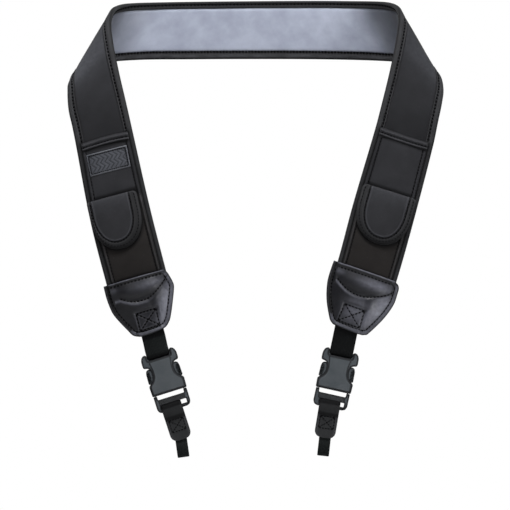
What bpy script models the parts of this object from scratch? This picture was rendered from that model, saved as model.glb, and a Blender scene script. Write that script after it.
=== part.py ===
"""Camera neck strap: a padded strip with pockets, leatherette end caps, webbing and side-release buckles.

One long padded strip runs from the left end cap up the left arm, folds over at the shoulder, crosses the back
of the neck with its lining to the front, folds over at the other shoulder and runs down to the right end cap.
Its shape is a ruled surface: a table gives the two ends of a straight line across the strip at each fold and
section, and smooth curves join them. Everything sewn to the strip is laid out on it like a pattern piece, by
its distance along the strip, its distance across it and its height over it.

Lengths in the tables are millimetres. X is to the right, Y away from the viewer, Z up. The origin is the
middle of the back strip, on its lining, where the strap sits on the neck.
"""

import math
from collections import namedtuple

import bmesh
import bpy
from mathutils import Vector

MM = 0.001
GAP = 0.3  # clear space between pieces that touch

# ---- Driving dimensions of the strip ------------------------------------------------------------------
PAD_OUTER_FACE = 2.1  # height of the padded strip's outer face over its middle surface
PAD_INNER_FACE = -1.6
PAD_EDGE_HALF = 1.4  # half thickness where the binding grips the edge
BINDING_WIDTH = 6.5
BINDING_WALL = 1.0
BINDING_FACE = 2.7  # half thickness over the binding
LINING_WALL = 1.0
PANEL_WALL = 1.0
PANEL_FLOOR = PAD_OUTER_FACE + GAP
PANEL_FACE = PANEL_FLOOR + PANEL_WALL

# ---- What is sewn to each arm, by the distance above the top edge of the end cap ------------------------
HEM_TOP = 143.5
HEM_BOTTOM = 136.0
HEM_FACE = 5.0
PANEL_BOTTOM = 80.0
BAG_TOP = 77.5
BAG_BOTTOM = 0.8
BAG_WALL = 1.5
BAG_RISE = 3.9  # height of the bag's middle over the strip's face
BAG_RIB_RISE = 3.0  # height of its side folds
BAG_RIB_CREST = 2.4  # how far in from the bag's edge the top of a side fold lies
BAG_RIB_WIDTH = 4.6
BAG_FLATTER = 0.35  # share of the rise that is lost at the cap
BAG_FLATTER_FROM = 22.0
FLAP_TOP = 84.5
FLAP_BOTTOM = 31.0
FLAP_FLOOR = 6.8
FLAP_WALL = 2.0
FLAP_BAND = 6.5  # width of the flap's binding
FLAP_BAND_FACE = 9.3
FLAP_ROUND = 27.0  # how far up the round end of the flap begins
FLAP_STRAIGHT = 0.22  # share of the flap's edge that is one straight side
FLAP_LIFT_RUN = 5.0  # over this length its underside rises from the strip to the bag
LABEL_TOP = 131.0
LABEL_BOTTOM = 109.0
LABEL_SPAN = (-21.2, 20.4)
LABEL_WALL = 1.0

# ---- End cap --------------------------------------------------------------------------------------------
PAD_END = 33.0  # how far the padded strip goes down inside the cap
BINDING_END = 12.0
CAP_MARGIN = 4.5  # the strip's end stays this far inside the cap's outline
POCKET_GAP = 0.45  # clear space round the strip's end, which bends a little inside the cap

# ---- Lower chain: webbing, buckle, tab and lug loop --------------------------------------------------------
CHAIN_DEPTH = -54.5
WEB_WIDTH = 23.5
WEB_WALL = 1.3
WEB_HALF = 1.5  # half thickness of its two layers together
WEB_END = -43.0  # the webbing's end, inside the end cap
WEB_BAR_DOWN = -5.2  # the socket's bar for the webbing, over the edge of its slot
WEB_BAR_HALF = 1.6
WEB_BAR_WIDE = 1.9
WEB_BAR_LENGTH = 28.0
BUCKLE_THICK = 9.0
FRAME_THICK = 6.4
SPRING_THICK = 4.2
CAVITY_THICK = 5.0
CAVITY_HALF = 15.3
TAB_WALL = 1.6
TAB_WIDTH = 20.8
TAB_FOOT = 33.0
TAB_HALF = 2.7  # half thickness of its closed lower part
TAB_CORNER = 6.0
TAB_PLAY = 0.6  # room for the tab to hang a little aslant on its bar
LUG_WIDTH = 11.8
LUG_WALL = 1.4
LUG_HALF = 1.4  # half thickness where its two layers are sewn together
LUG_TOP = -9.0  # its upper end, inside the tab
LUG_EYE_DOWN = 9.6
LUG_EYE_HALF = 2.4
LUG_EYE_WIDE = 4.2

Ruling = namedtuple("Ruling", "place inner outer")

# The strip's inner and outer edge at each section, from the left end cap to the right one. On the back strip
# the inner edge is the upper one.
RULINGS = [
    Ruling("left cap, foot", (-75.0, -53.0, -293.9), (-133.3, -53.0, -311.3)),
    Ruling("left cap, top", (-89.8, -50.0, -238.5), (-148.6, -50.0, -255.4)),
    Ruling("left flap", (-106.1, -42.0, -174.8), (-165.1, -42.0, -191.3)),
    Ruling("left hem", (-123.7, -34.0, -97.3), (-180.1, -34.0, -112.8)),
    Ruling("left arm, upper", (-129.5, -31.0, -71.8), (-183.4, -31.0, -96.5)),
    Ruling("left turn begins", (-136.3, -26.0, -42.8), (-187.3, -26.0, -78.9)),
    Ruling("left turn, front", (-142.6, -19.0, -11.5), (-188.0, -16.0, -60.0)),
    Ruling("left crest, front", (-145.1, -10.0, 9.2), (-186.1, -8.0, -53.6)),
    Ruling("left crest", (-142.9, 0.0, 20.2), (-183.5, 0.0, -48.0)),
    Ruling("left crest, back", (-137.4, 15.5, 25.4), (-177.2, 19.0, -41.6)),
    Ruling("left turn, back", (-126.4, 28.5, 28.1), (-162.4, 35.5, -33.0)),
    Ruling("left back, outer", (-98.4, 37.5, 29.4), (-122.4, 47.0, -28.6)),
    Ruling("left back, inner", (-59.4, 40.0, 30.1), (-67.4, 48.5, -27.8)),
    Ruling("neck middle", (0.0, 40.5, 30.7), (0.0, 49.0, -27.5)),
    Ruling("right back, inner", (58.6, 40.0, 31.0), (66.6, 48.5, -27.8)),
    Ruling("right back, outer", (97.6, 37.5, 30.7), (122.6, 47.0, -29.2)),
    Ruling("right turn, back", (126.2, 28.5, 29.8), (162.6, 35.5, -32.4)),
    Ruling("right crest, back", (138.0, 15.5, 27.1), (176.0, 19.0, -37.6)),
    Ruling("right crest", (143.2, 0.0, 21.0), (181.0, 0.0, -44.4)),
    Ruling("right crest, front", (143.6, -10.0, 9.6), (185.8, -8.0, -50.2)),
    Ruling("right turn, front", (140.4, -19.0, -11.8), (188.0, -16.0, -59.8)),
    Ruling("right turn begins", (134.0, -26.0, -42.3), (187.0, -26.0, -71.8)),
    Ruling("right arm, upper", (127.0, -31.0, -70.8), (182.8, -31.0, -91.8)),
    Ruling("right hem", (120.2, -34.0, -97.0), (177.8, -34.0, -115.6)),
    Ruling("right flap", (97.6, -42.0, -173.8), (157.7, -42.0, -192.8)),
    Ruling("right cap, top", (81.8, -50.0, -232.2), (140.6, -50.0, -252.4)),
    Ruling("right cap, foot", (64.0, -53.0, -287.4), (121.8, -53.0, -307.2)),
]
NECK_ROW = 13

# Each side's own measures: the row of its cap's top edge, the way down the arm along the strip, the reach of
# its flap across the strip, and where its buckle, tab and lug loop hang and how they lean.
Hang = namedtuple("Hang", "x z lean")
Side = namedtuple("Side", "name cap_row down flap_outer flap_inner cap_foot buckle tab lug")
SIDES = [
    Side(
        "left", 1, -1, -29.0, 20.8, 58.5,
        buckle=Hang(-96.4, -327.4, 17.4), tab=Hang(-83.3, -377.7, 18.0), lug=Hang(-73.9, -411.5, 8.0),
    ),
    Side(
        "right", 25, 1, -29.8, 26.2, 60.5,
        buckle=Hang(85.5, -327.0, -12.5), tab=Hang(73.6, -377.6, -9.5), lug=Hang(69.3, -410.2, -6.2),
    ),
]

# Outline and thickness of an end cap, by the share of its length below its top edge.
CapRow = namedtuple("CapRow", "share half_width front back")
CAP_ROWS = [
    CapRow(0.00, 33.0, 4.9, 4.7),
    CapRow(0.08, 33.9, 5.4, 4.7),
    CapRow(0.20, 34.5, 6.4, 4.7),
    CapRow(0.34, 34.2, 6.8, 4.7),
    CapRow(0.50, 31.6, 5.6, 4.6),
    CapRow(0.64, 28.6, 4.4, 4.0),
    CapRow(0.78, 24.2, 3.9, 3.7),
    CapRow(0.90, 20.0, 3.6, 3.5),
    CapRow(0.97, 16.6, 3.4, 3.4),
    CapRow(1.00, 13.2, 3.2, 3.2),
]

# Half outline of the buckle's socket: distance across and distance below the edge of its webbing slot.
SOCKET_HALF = [
    (12.3, 0.0), (12.3, -8.0), (13.6, -9.0), (15.6, -8.6), (17.6, -6.6), (18.5, -3.2),
    (18.4, 4.4), (17.0, 5.6), (13.4, 6.0), (11.9, 8.0), (11.7, 12.5), (12.2, 18.4),
    (13.8, 22.4), (17.2, 24.2), (18.3, 25.6), (17.9, 35.4), (17.3, 36.0),
]
# Outline of a prong's head, which fills the socket's side window.
PRONG_HEAD = [
    (12.3, 9.4), (14.4, 8.9), (16.3, 10.6), (17.1, 13.0), (17.5, 22.4), (16.6, 23.0),
    (14.9, 22.3), (13.0, 19.6), (12.1, 15.0),
]
# A prong's spring, inside the socket, from its head down into the rail of the frame.
PRONG_SPRING = [
    (9.6, 13.0), (13.2, 13.0), (14.2, 22.0), (14.9, 26.0), (14.9, 38.5), (14.2, 38.5), (14.2, 35.6),
    (11.4, 35.6), (11.0, 24.0),
]
CROSS_PIECE = [(-14.5, 30.0), (14.5, 30.0), (14.5, 35.2), (-14.5, 35.2)]
FRAME_TOP, FRAME_FOOT = 36.4, 54.0
FRAME_HALF = 17.3
FRAME_CORNER = 4.2
FRAME_RAIL = 3.6
RIBBED_BAR_TOP = 40.4
TAB_SLOT = (46.4, 50.2)

COLOURS = {
    "neoprene": ((0.03, 0.03, 0.033), 0.75),
    "lining": ((0.36, 0.38, 0.46), 0.45),
    "binding": ((0.025, 0.025, 0.026), 0.8),
    "leatherette": ((0.03, 0.03, 0.034), 0.35),
    "webbing": ((0.01, 0.01, 0.01), 0.85),
    "buckle_plastic": ((0.07, 0.08, 0.085), 0.5),
    "tab_fabric": ((0.03, 0.03, 0.031), 0.7),
    "label_fabric": ((0.07, 0.085, 0.1), 0.6),
}


# ---- Scene and materials --------------------------------------------------------------------------------
def clear_scene():
    for obj in list(bpy.data.objects):
        bpy.data.objects.remove(obj, do_unlink=True)


def new_collection(name):
    collection = bpy.data.collections.new(name)
    bpy.context.scene.collection.children.link(collection)
    return collection


def finish_material(name):
    material = bpy.data.materials.get(name)
    if material:
        return material
    colour, roughness = COLOURS[name]
    material = bpy.data.materials.new(name)
    material.use_nodes = True
    shader = material.node_tree.nodes["Principled BSDF"]
    shader.inputs["Base Color"].default_value = (*colour, 1.0)
    shader.inputs["Roughness"].default_value = roughness
    shader.inputs["Metallic"].default_value = 0.0
    return material


def add_object(name, mesh, finish, parent=None):
    obj = bpy.data.objects.new(name, mesh)
    PIECES.objects.link(obj)
    mesh.materials.append(finish_material(finish))
    mesh.shade_smooth()
    mesh.set_sharp_from_angle(angle=math.radians(35))
    obj.parent = parent
    return obj


def add_cutter(name, mesh, parent=None):
    obj = bpy.data.objects.new(name, mesh)
    CUTTERS.objects.link(obj)
    obj.hide_render = True
    obj.display_type = "WIRE"
    obj.parent = parent
    return obj


def boolean(obj, other, operation):
    modifier = obj.modifiers.new(f"{operation.lower()} {other.name}", "BOOLEAN")
    modifier.operation = operation
    modifier.object = other


# ---- The strip's surface --------------------------------------------------------------------------------
def hermite(p0, p1, m0, m1, t):
    t2, t3 = t * t, t * t * t
    return p0 * (2 * t3 - 3 * t2 + 1) + m0 * (t3 - 2 * t2 + t) + p1 * (3 * t2 - 2 * t3) + m1 * (t3 - t2)


class Strip:
    """The ruled middle surface of the padded strip, by distance along it and across it."""

    def __init__(self, rulings):
        self.inner = [Vector(row.inner) for row in rulings]
        self.outer = [Vector(row.outer) for row in rulings]
        middle = [(a + b) / 2 for a, b in zip(self.inner, self.outer)]
        run = [0.0]
        for before, after in zip(middle, middle[1:]):
            run.append(run[-1] + (after - before).length)
        self.stations = [length - run[NECK_ROW] for length in run]
        self.origin = Vector((0, 0, 0))
        self.origin = self.point(0.0, 0.0, PAD_INNER_FACE - GAP - LINING_WALL)

    def slopes(self, edge, row):
        low, high = max(row - 1, 0), min(row + 1, len(edge) - 1)
        return (edge[high] - edge[low]) / (self.stations[high] - self.stations[low])

    def edge_point(self, edge, station):
        row = 0
        while row < len(edge) - 2 and station > self.stations[row + 1]:
            row += 1
        length = self.stations[row + 1] - self.stations[row]
        share = (station - self.stations[row]) / length
        starts, ends = self.slopes(edge, row) * length, self.slopes(edge, row + 1) * length
        return hermite(edge[row], edge[row + 1], starts, ends, share)

    def ruling(self, station):
        return self.edge_point(self.inner, station), self.edge_point(self.outer, station)

    def width(self, station):
        """Width square across the strip, which is less than a slanted ruling's length."""
        inner, outer = self.ruling(station)
        after, before = self.ruling(station + 1.0), self.ruling(station - 1.0)
        along = (after[0] + after[1] - before[0] - before[1]).normalized()
        return (inner - outer).cross(along).length

    def point(self, station, across, height):
        """The place at this distance along the strip, across it and over its middle, in millimetres."""
        inner, outer = self.ruling(station)
        step = 0.5
        share = 0.5 + across / self.width(station)
        here = outer.lerp(inner, share)
        after = self.ruling(station + step)
        before = self.ruling(station - step)
        along = after[1].lerp(after[0], share) - before[1].lerp(before[0], share)
        normal = (inner - outer).cross(along).normalized()
        return here + normal * height - self.origin


def finished_mesh(shape, mesh):
    """Writes a closed shape to the mesh with its faces pointing out."""
    shape.normal_update()
    bmesh.ops.recalc_face_normals(shape, faces=shape.faces)
    if shape.calc_volume(signed=True) < 0:
        bmesh.ops.reverse_faces(shape, faces=shape.faces)
    shape.to_mesh(mesh)
    shape.free()
    return mesh


def sweep_mesh(name, rings):
    """A closed body through rings with the same number of points, in millimetres."""
    mesh = bpy.data.meshes.new(name)
    shape = bmesh.new()
    loops = [[shape.verts.new(Vector(point) * MM) for point in ring] for ring in rings]
    count = len(rings[0])
    for before, after in zip(loops, loops[1:]):
        for index in range(count):
            following = (index + 1) % count
            shape.faces.new((before[index], before[following], after[following], after[index]))
    shape.faces.new(loops[0][::-1])
    shape.faces.new(loops[-1])
    # Layers over one another keep their gap on a twisted stretch only if their faces split the same way.
    bmesh.ops.triangulate(shape, faces=shape.faces, quad_method="SHORT_EDGE")
    return finished_mesh(shape, mesh)


def strip_stations(first, last):
    """Places along the strip for a sweep: close together round the turns and wide apart on the straights."""
    places = []
    for row in range(len(STRIP.stations) - 1):
        start, end = STRIP.stations[row], STRIP.stations[row + 1]
        steps = 3 if end - start > 50 else 2 if end - start > 11 else 1
        places += [start + (end - start) * step / steps for step in range(steps)]
    inside = [place for place in places if first + 1 < place < last - 1]
    return [first, *inside, last]


def on_section(station, section):
    """One ring: a section of (across, height) points laid on the strip."""
    return [STRIP.point(station, across, height) for across, height in section]


def on_strip(stations, section_at):
    return [on_section(station, section_at(station)) for station in stations]


def mirrored(half):
    """A closed section from its right half, given from its top to its bottom."""
    return half + [(-across, height) for across, height in reversed(half)]


# ---- Padded strip, lining and edge bindings --------------------------------------------------------------
def below_cap_top(station):
    """How far a place on the strip lies below the top edge of the end cap on its side; negative above it."""
    return max(STRIP.stations[SIDES[0].cap_row] - station, station - STRIP.stations[SIDES[1].cap_row])


def cap_half_width(down, length):
    share = min(max(down / length, 0.0), 1.0)
    for before, after in zip(CAP_ROWS, CAP_ROWS[1:]):
        if share <= after.share:
            part = (share - before.share) / (after.share - before.share)
            return before.half_width + (after.half_width - before.half_width) * part
    return CAP_ROWS[-1].half_width


def pad_half_width(station):
    half = STRIP.width(station) / 2 - BINDING_WALL - GAP
    down = below_cap_top(station)
    return min(half, cap_half_width(down, SIDES[0].cap_foot) - CAP_MARGIN) if down > 0 else half


def pad_section(station):
    edge = pad_half_width(station)
    shoulder, flat = edge - 6.0, edge - 7.3
    return mirrored([
        (flat, PAD_OUTER_FACE), (shoulder, PAD_EDGE_HALF), (edge, 1.0),
        (edge, -1.0), (shoulder, -PAD_EDGE_HALF), (flat, PAD_INNER_FACE),
    ])


def lining_section(station):
    edge = STRIP.width(station) / 2 - BINDING_WIDTH - GAP
    top = PAD_INNER_FACE - GAP
    return mirrored([(edge, top), (edge, top - LINING_WALL)])


def binding_section(edge_sign):
    def section(station):
        edge = STRIP.width(station) / 2
        inside = BINDING_FACE - BINDING_WALL
        half = [
            (edge - BINDING_WIDTH, BINDING_FACE), (edge - 1.2, BINDING_FACE), (edge, 1.5),
            (edge, -1.5), (edge - 1.2, -BINDING_FACE), (edge - BINDING_WIDTH, -BINDING_FACE),
            (edge - BINDING_WIDTH, -inside), (edge - BINDING_WALL, -inside),
            (edge - BINDING_WALL, inside), (edge - BINDING_WIDTH, inside),
        ]
        return [(edge_sign * across, height) for across, height in half]
    return section


def build_strip():
    left_top, right_top = (STRIP.stations[side.cap_row] for side in SIDES)
    whole = strip_stations(left_top - PAD_END, right_top + PAD_END)
    trimmed = strip_stations(left_top - BINDING_END, right_top + BINDING_END)
    add_object("neck_pad", sweep_mesh("neck_pad", on_strip(whole, pad_section)), "neoprene")
    add_object("pad_lining", sweep_mesh("pad_lining", on_strip(trimmed, lining_section)), "lining")
    for name, sign in (("inner_edge_binding", 1), ("outer_edge_binding", -1)):
        add_object(name, sweep_mesh(name, on_strip(trimmed, binding_section(sign))), "binding")


# ---- Pocket, flap and label ------------------------------------------------------------------------------
def station_above_cap(side, distance):
    return STRIP.stations[side.cap_row] - side.down * distance


def spread(start, end, steps):
    return [start + (end - start) * step / steps for step in range(steps + 1)]


def arm_sweep(side, distances, section_at):
    """Rings on one arm, for distances above the cap's top edge."""
    rings = []
    for distance in distances:
        station = station_above_cap(side, distance)
        rings.append(on_section(station, section_at(distance, station)))
    return rings


def cloth_half_width(station):
    return STRIP.width(station) / 2 - BINDING_WIDTH - GAP - 0.1


def build_hem_and_panel(side):
    def hem(_distance, station):
        half = cloth_half_width(station)
        return mirrored([(half - 1.2, HEM_FACE), (half, HEM_FACE - 0.9), (half, PANEL_FLOOR)])

    def panel(_distance, station):
        half = cloth_half_width(station)
        return mirrored([(half, PANEL_FACE), (half, PANEL_FLOOR)])

    name = f"{side.name}_pocket_hem"
    rows = spread(HEM_TOP, HEM_BOTTOM, 2)
    add_object(name, sweep_mesh(name, arm_sweep(side, rows, hem)), "neoprene")
    name = f"{side.name}_pocket_panel"
    rows = spread(HEM_BOTTOM - GAP - 0.1, PANEL_BOTTOM, 4)
    add_object(name, sweep_mesh(name, arm_sweep(side, rows, panel)), "neoprene")


def build_bag(side):
    """The pouch: an arched wall with a fold along each side, open under the flap, flatter towards the cap."""
    def section(distance, station):
        half = cloth_half_width(station)
        fall = 1.0 - BAG_FLATTER * max(0.0, 1.0 - distance / BAG_FLATTER_FROM)
        rib, crown = PAD_OUTER_FACE + BAG_RIB_RISE * fall, PAD_OUTER_FACE + BAG_RISE * fall
        shoulder, valley = crown - 0.5, rib - 0.7
        outside = [
            (half, PANEL_FLOOR), (half - 0.5, rib - 0.6), (half - BAG_RIB_CREST, rib),
            (half - BAG_RIB_WIDTH, valley), (half * 0.7, shoulder), (half * 0.35, crown),
        ]
        inside = [
            (half * 0.7, shoulder - BAG_WALL), (half - BAG_RIB_WIDTH + 0.4, valley - BAG_WALL * 0.9),
            (half - 2.0, PANEL_FLOOR),
        ]
        # The section runs over the top from the right foot to the left one, and back under the arch.
        over = outside + [(-across, height) for across, height in reversed(outside)]
        return over + [(-across, height) for across, height in reversed(inside)] + inside

    name = f"{side.name}_pocket_bag"
    rows = spread(BAG_TOP, BAG_BOTTOM, 7)
    add_object(name, sweep_mesh(name, arm_sweep(side, rows, section)), "neoprene")


def flap_edge(side, turn, inset):
    """A place on the flap's edge, from its outer top corner (0) round its end to its inner top corner (1)."""
    middle = (side.flap_outer + side.flap_inner) / 2
    half = (side.flap_inner - side.flap_outer) / 2 - inset
    round_start = FLAP_BOTTOM + FLAP_ROUND
    if turn <= FLAP_STRAIGHT or turn >= 1 - FLAP_STRAIGHT:
        share = min(turn, 1 - turn) / FLAP_STRAIGHT
        sign = -1 if turn <= FLAP_STRAIGHT else 1
        return FLAP_TOP + (round_start - FLAP_TOP) * share, middle + sign * half
    angle = math.pi * (turn - FLAP_STRAIGHT) / (1 - 2 * FLAP_STRAIGHT)
    return round_start - (FLAP_ROUND - inset) * math.sin(angle), middle - half * math.cos(angle)


def flap_floor(distance):
    """The flap's underside: on the strip at its sewn top, and over the bag below that."""
    share = min(max((FLAP_TOP - 1.5 - distance) / FLAP_LIFT_RUN, 0.0), 1.0)
    sewn = PANEL_FACE + GAP + 0.1
    return sewn + (FLAP_FLOOR - sewn) * share


def build_flap(side):
    name = f"{side.name}_pocket_flap"
    face = FLAP_FLOOR + FLAP_WALL
    inset = FLAP_BAND + GAP
    rings = []
    for turn in (0.0, 0.024, 0.07, 0.12, *spread(FLAP_STRAIGHT, 0.42, 4), 0.46):
        distance, outer = flap_edge(side, turn, inset)
        _, inner = flap_edge(side, 1 - turn, inset)
        station = station_above_cap(side, distance)
        top = face - 1.2 if turn == 0 else face
        corners = [(outer, flap_floor(distance)), (outer, top - 0.4), ((outer + inner) / 2, top)]
        corners += [(inner, top - 0.4), (inner, flap_floor(distance))]
        rings.append(on_section(station, corners))
    add_object(name, sweep_mesh(name, rings), "neoprene")

    name = f"{side.name}_flap_binding"
    rings = []
    end = spread(FLAP_STRAIGHT, 1 - FLAP_STRAIGHT, 14)
    for turn in (0.0, 0.024, 0.07, 0.14, *end, 0.86, 0.93, 0.976, 1.0):
        low, high = flap_edge(side, turn, 0.0), flap_edge(side, turn, FLAP_BAND)
        ring = []
        for (distance, across), top in ((low, FLAP_BAND_FACE - 1.0), (high, FLAP_BAND_FACE)):
            station = station_above_cap(side, distance)
            face = top - 1.2 if turn in (0.0, 1.0) else top
            pair = on_section(station, [(across, flap_floor(distance)), (across, face)])
            ring += pair[::-1] if ring else pair
        rings.append(ring)
    add_object(name, sweep_mesh(name, rings), "binding")


def build_label(side):
    low, high = LABEL_SPAN
    floor = PANEL_FACE + GAP
    face = floor + LABEL_WALL

    def section(_distance, _station):
        return [(low, floor), (low, face), (high, face), (high, floor)]

    name = f"{side.name}_label"
    rows = spread(LABEL_TOP, LABEL_BOTTOM, 2)
    add_object(name, sweep_mesh(name, arm_sweep(side, rows, section)), "label_fabric")


# ---- End cap ----------------------------------------------------------------------------------------------
def build_cap(side, web_cutter):
    """A leatherette shield round the strip's end, with a pocket for the strip and a slot for the webbing."""
    rings = []
    for row in CAP_ROWS:
        station = station_above_cap(side, -row.share * side.cap_foot)
        edge = row.half_width
        flat = edge * 0.45
        section = mirrored([
            (flat, row.front), (edge - 4.2, row.front * 0.94 - 0.1), (edge - 1.4, 3.0), (edge, 1.3),
            (edge, -1.3), (edge - 1.4, -3.0), (edge - 4.2, -row.back), (flat, -row.back),
        ])
        rings.append(on_section(station, section))
    name = f"{side.name}_end_cap"
    cap = add_object(name, sweep_mesh(name, rings), "leatherette")

    pocket = []
    clear = BINDING_FACE + POCKET_GAP
    narrow = PAD_OUTER_FACE + POCKET_GAP
    step_down = -BINDING_END - 0.4
    for distance, half_thick, over_pad in (
        (4.0, clear, False), (step_down, clear, False), (step_down - 0.2, narrow, True),
        (-22.0, narrow, True), (-PAD_END - 0.4, narrow, True),
    ):
        station = station_above_cap(side, distance)
        edge = (pad_half_width(station) if over_pad else STRIP.width(station) / 2) + POCKET_GAP
        section = mirrored([(edge - 1.2, half_thick), (edge, 1.7), (edge, -1.7), (edge - 1.2, -half_thick)])
        pocket.append(on_section(station, section))
    cutter = add_cutter(f"{side.name}_cap_pocket", sweep_mesh(f"{side.name}_cap_pocket", pocket))
    boolean(cap, cutter, "DIFFERENCE")
    boolean(cap, web_cutter, "DIFFERENCE")


# ---- Plates and bands of the lower chain -------------------------------------------------------------------
def hanging_frame(name, hang):
    """An empty at a piece's upper middle, with its local -Z down the piece."""
    empty = bpy.data.objects.new(name, None)
    PIECES.objects.link(empty)
    empty.location = (Vector((hang.x, CHAIN_DEPTH, hang.z)) - STRIP.origin) * MM
    empty.rotation_euler = (0, -math.radians(hang.lean), 0)
    return empty


def plate_mesh(name, outlines, thickness, upright=True):
    """A flat plate from closed outlines of (across, down) points; the inner ones are holes. Not upright, the
    outlines are (depth, down) points and the thickness runs across."""
    curve = bpy.data.curves.new(name, "CURVE")
    curve.dimensions = "2D"
    curve.fill_mode = "BOTH"
    curve.extrude = thickness * MM / 2
    for outline in outlines:
        spline = curve.splines.new("POLY")
        spline.points.add(len(outline) - 1)
        for point, (across, down) in zip(spline.points, outline):
            point.co = (across * MM, -down * MM, 0, 1)
        spline.use_cyclic_u = True
    holder = bpy.data.objects.new(f"{name} outline", curve)
    bpy.context.scene.collection.objects.link(holder)
    graph = bpy.context.evaluated_depsgraph_get()
    mesh = bpy.data.meshes.new_from_object(holder.evaluated_get(graph))
    mesh.name = name
    bpy.data.objects.remove(holder)
    shape = bmesh.new()
    shape.from_mesh(mesh)
    bmesh.ops.remove_doubles(shape, verts=shape.verts, dist=1e-6)
    for vertex in shape.verts:
        x, y, z = vertex.co
        vertex.co = (x, z, y) if upright else (z, x, y)
    return finished_mesh(shape, mesh)


def both_sides(half):
    return half + [(-across, down) for across, down in reversed(half)]


def soften(obj, width):
    modifier = obj.modifiers.new("rounded edges", "BEVEL")
    modifier.width = width * MM
    modifier.segments = 1
    modifier.limit_method = "ANGLE"
    modifier.angle_limit = math.radians(60)


def rounded_rectangle(half, top, foot, corner, steps=3):
    """A closed outline of (across, down) points with round corners."""
    corners = [(half, top, 0), (half, foot, 1), (-half, foot, 2), (-half, top, 3)]
    outline = []
    for across, down, quarter in corners:
        centre = (across - math.copysign(corner, across), down + (corner if down == top else -corner))
        for step in range(steps + 1):
            angle = math.radians(-90 + 90 * quarter + 90 * step / steps)
            outline.append((centre[0] + corner * math.cos(angle), centre[1] + corner * math.sin(angle)))
    return outline


def folded_band(bar_down, bar_half, bar_wide, wall, top, foot, top_half, foot_half, slope=7.0):
    """Profile of a strap folded round a bar: (depth, down) outlines of its outside and of the bar's hole.

    The bar's hole is at bar_down; the strap runs from top to foot with the half thickness given for each, and
    its two layers come together over the length of the slope."""
    outer_radius, reach = bar_half + GAP + wall, bar_wide + GAP + wall
    bar_at_top = abs(top - bar_down) < abs(foot - bar_down)
    far_end, far_half, way = (foot, foot_half, 1) if bar_at_top else (top, top_half, -1)
    outside = []
    for angle in spread(0.0, math.pi, 6):
        outside.append((outer_radius * math.cos(angle), bar_down - way * reach * math.sin(angle)))
    slope_end = bar_down + way * (reach + slope)
    outside += [(-outer_radius, bar_down + way * bar_wide), (-far_half, slope_end), (-far_half, far_end)]
    outside += [(far_half, far_end), (far_half, slope_end), (outer_radius, bar_down + way * bar_wide)]
    hole_top, hole_foot = bar_down - bar_wide - GAP, bar_down + bar_wide + GAP
    return [outside, rounded_rectangle(bar_half + GAP, hole_top, hole_foot, 0.4, steps=1)]


# ---- Buckle, webbing, tab and lug loop ------------------------------------------------------------------

def build_web(side, frame):
    profile = folded_band(WEB_BAR_DOWN, WEB_BAR_HALF, WEB_BAR_WIDE, WEB_WALL, WEB_END, 0.0, WEB_HALF, 0.0)
    name = f"{side.name}_web"
    add_object(name, plate_mesh(name, profile, WEB_WIDTH, upright=False), "webbing", frame)
    half, top, foot = WEB_HALF + GAP, WEB_END - 0.4, -18.0
    slot = [(-half, top), (half, top), (half, foot), (-half, foot)]
    cutter = plate_mesh(f"{side.name}_cap_slot", [slot], WEB_WIDTH + 2 * GAP, upright=False)
    return add_cutter(f"{side.name}_cap_slot", cutter, frame)


def build_socket(side, frame):
    """The female half: lobes with a bar for the webbing, side windows, and a cavity open at the foot."""
    name = f"{side.name}_buckle_socket"
    mesh = plate_mesh(name, [both_sides(SOCKET_HALF)], BUCKLE_THICK)
    socket = add_object(name, mesh, "buckle_plastic", frame)
    soften(socket, 0.8)
    half, top, foot = WEB_BAR_HALF, WEB_BAR_DOWN - WEB_BAR_WIDE, WEB_BAR_DOWN + WEB_BAR_WIDE
    outline = [(-half, top), (half, top), (half, foot), (-half, foot)]
    bar = plate_mesh(f"{name}_bar", [outline], WEB_BAR_LENGTH, upright=False)
    boolean(socket, add_cutter(f"{name}_bar", bar, frame), "UNION")
    half, top, foot = CAVITY_HALF, 3.5, 38.0
    outline = [(-half, top), (half, top), (half, foot), (-half, foot)]
    cavity = plate_mesh(f"{name}_cavity", [outline], CAVITY_THICK)
    boolean(socket, add_cutter(f"{name}_cavity", cavity, frame), "DIFFERENCE")


def build_frame(side, frame):
    """The male half: two springs with heads that fill the socket's windows, and a frame with two slots."""
    name = f"{side.name}_buckle_frame"
    inner = FRAME_HALF - FRAME_RAIL
    foot = rounded_rectangle(FRAME_HALF, FRAME_TOP, FRAME_FOOT, FRAME_CORNER)
    rounded_foot = [point for point in foot if point[1] > FRAME_FOOT - FRAME_CORNER - 0.01]
    outline = [
        (inner, FRAME_TOP), (FRAME_HALF, FRAME_TOP), *rounded_foot, (-FRAME_HALF, FRAME_TOP),
        (-inner, FRAME_TOP), (-inner, RIBBED_BAR_TOP), (inner, RIBBED_BAR_TOP),
    ]
    top, bottom = TAB_SLOT
    slot = [(-inner, top), (inner, top), (inner, bottom), (-inner, bottom)]
    ladder = add_object(name, plate_mesh(name, [outline, slot], FRAME_THICK), "buckle_plastic", frame)
    soften(ladder, 0.7)
    shapes = [("cross", CROSS_PIECE, SPRING_THICK)]
    for sign, word in ((1, "right"), (-1, "left")):
        shapes.append((f"{word}_spring", [(sign * a, d) for a, d in PRONG_SPRING], SPRING_THICK - 0.2))
        shapes.append((f"{word}_head", [(sign * a, d) for a, d in PRONG_HEAD], FRAME_THICK - 0.4))
    for word, points, thick in shapes:
        piece = add_cutter(f"{name}_{word}", plate_mesh(f"{name}_{word}", [points], thick), frame)
        boolean(ladder, piece, "UNION")


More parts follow.
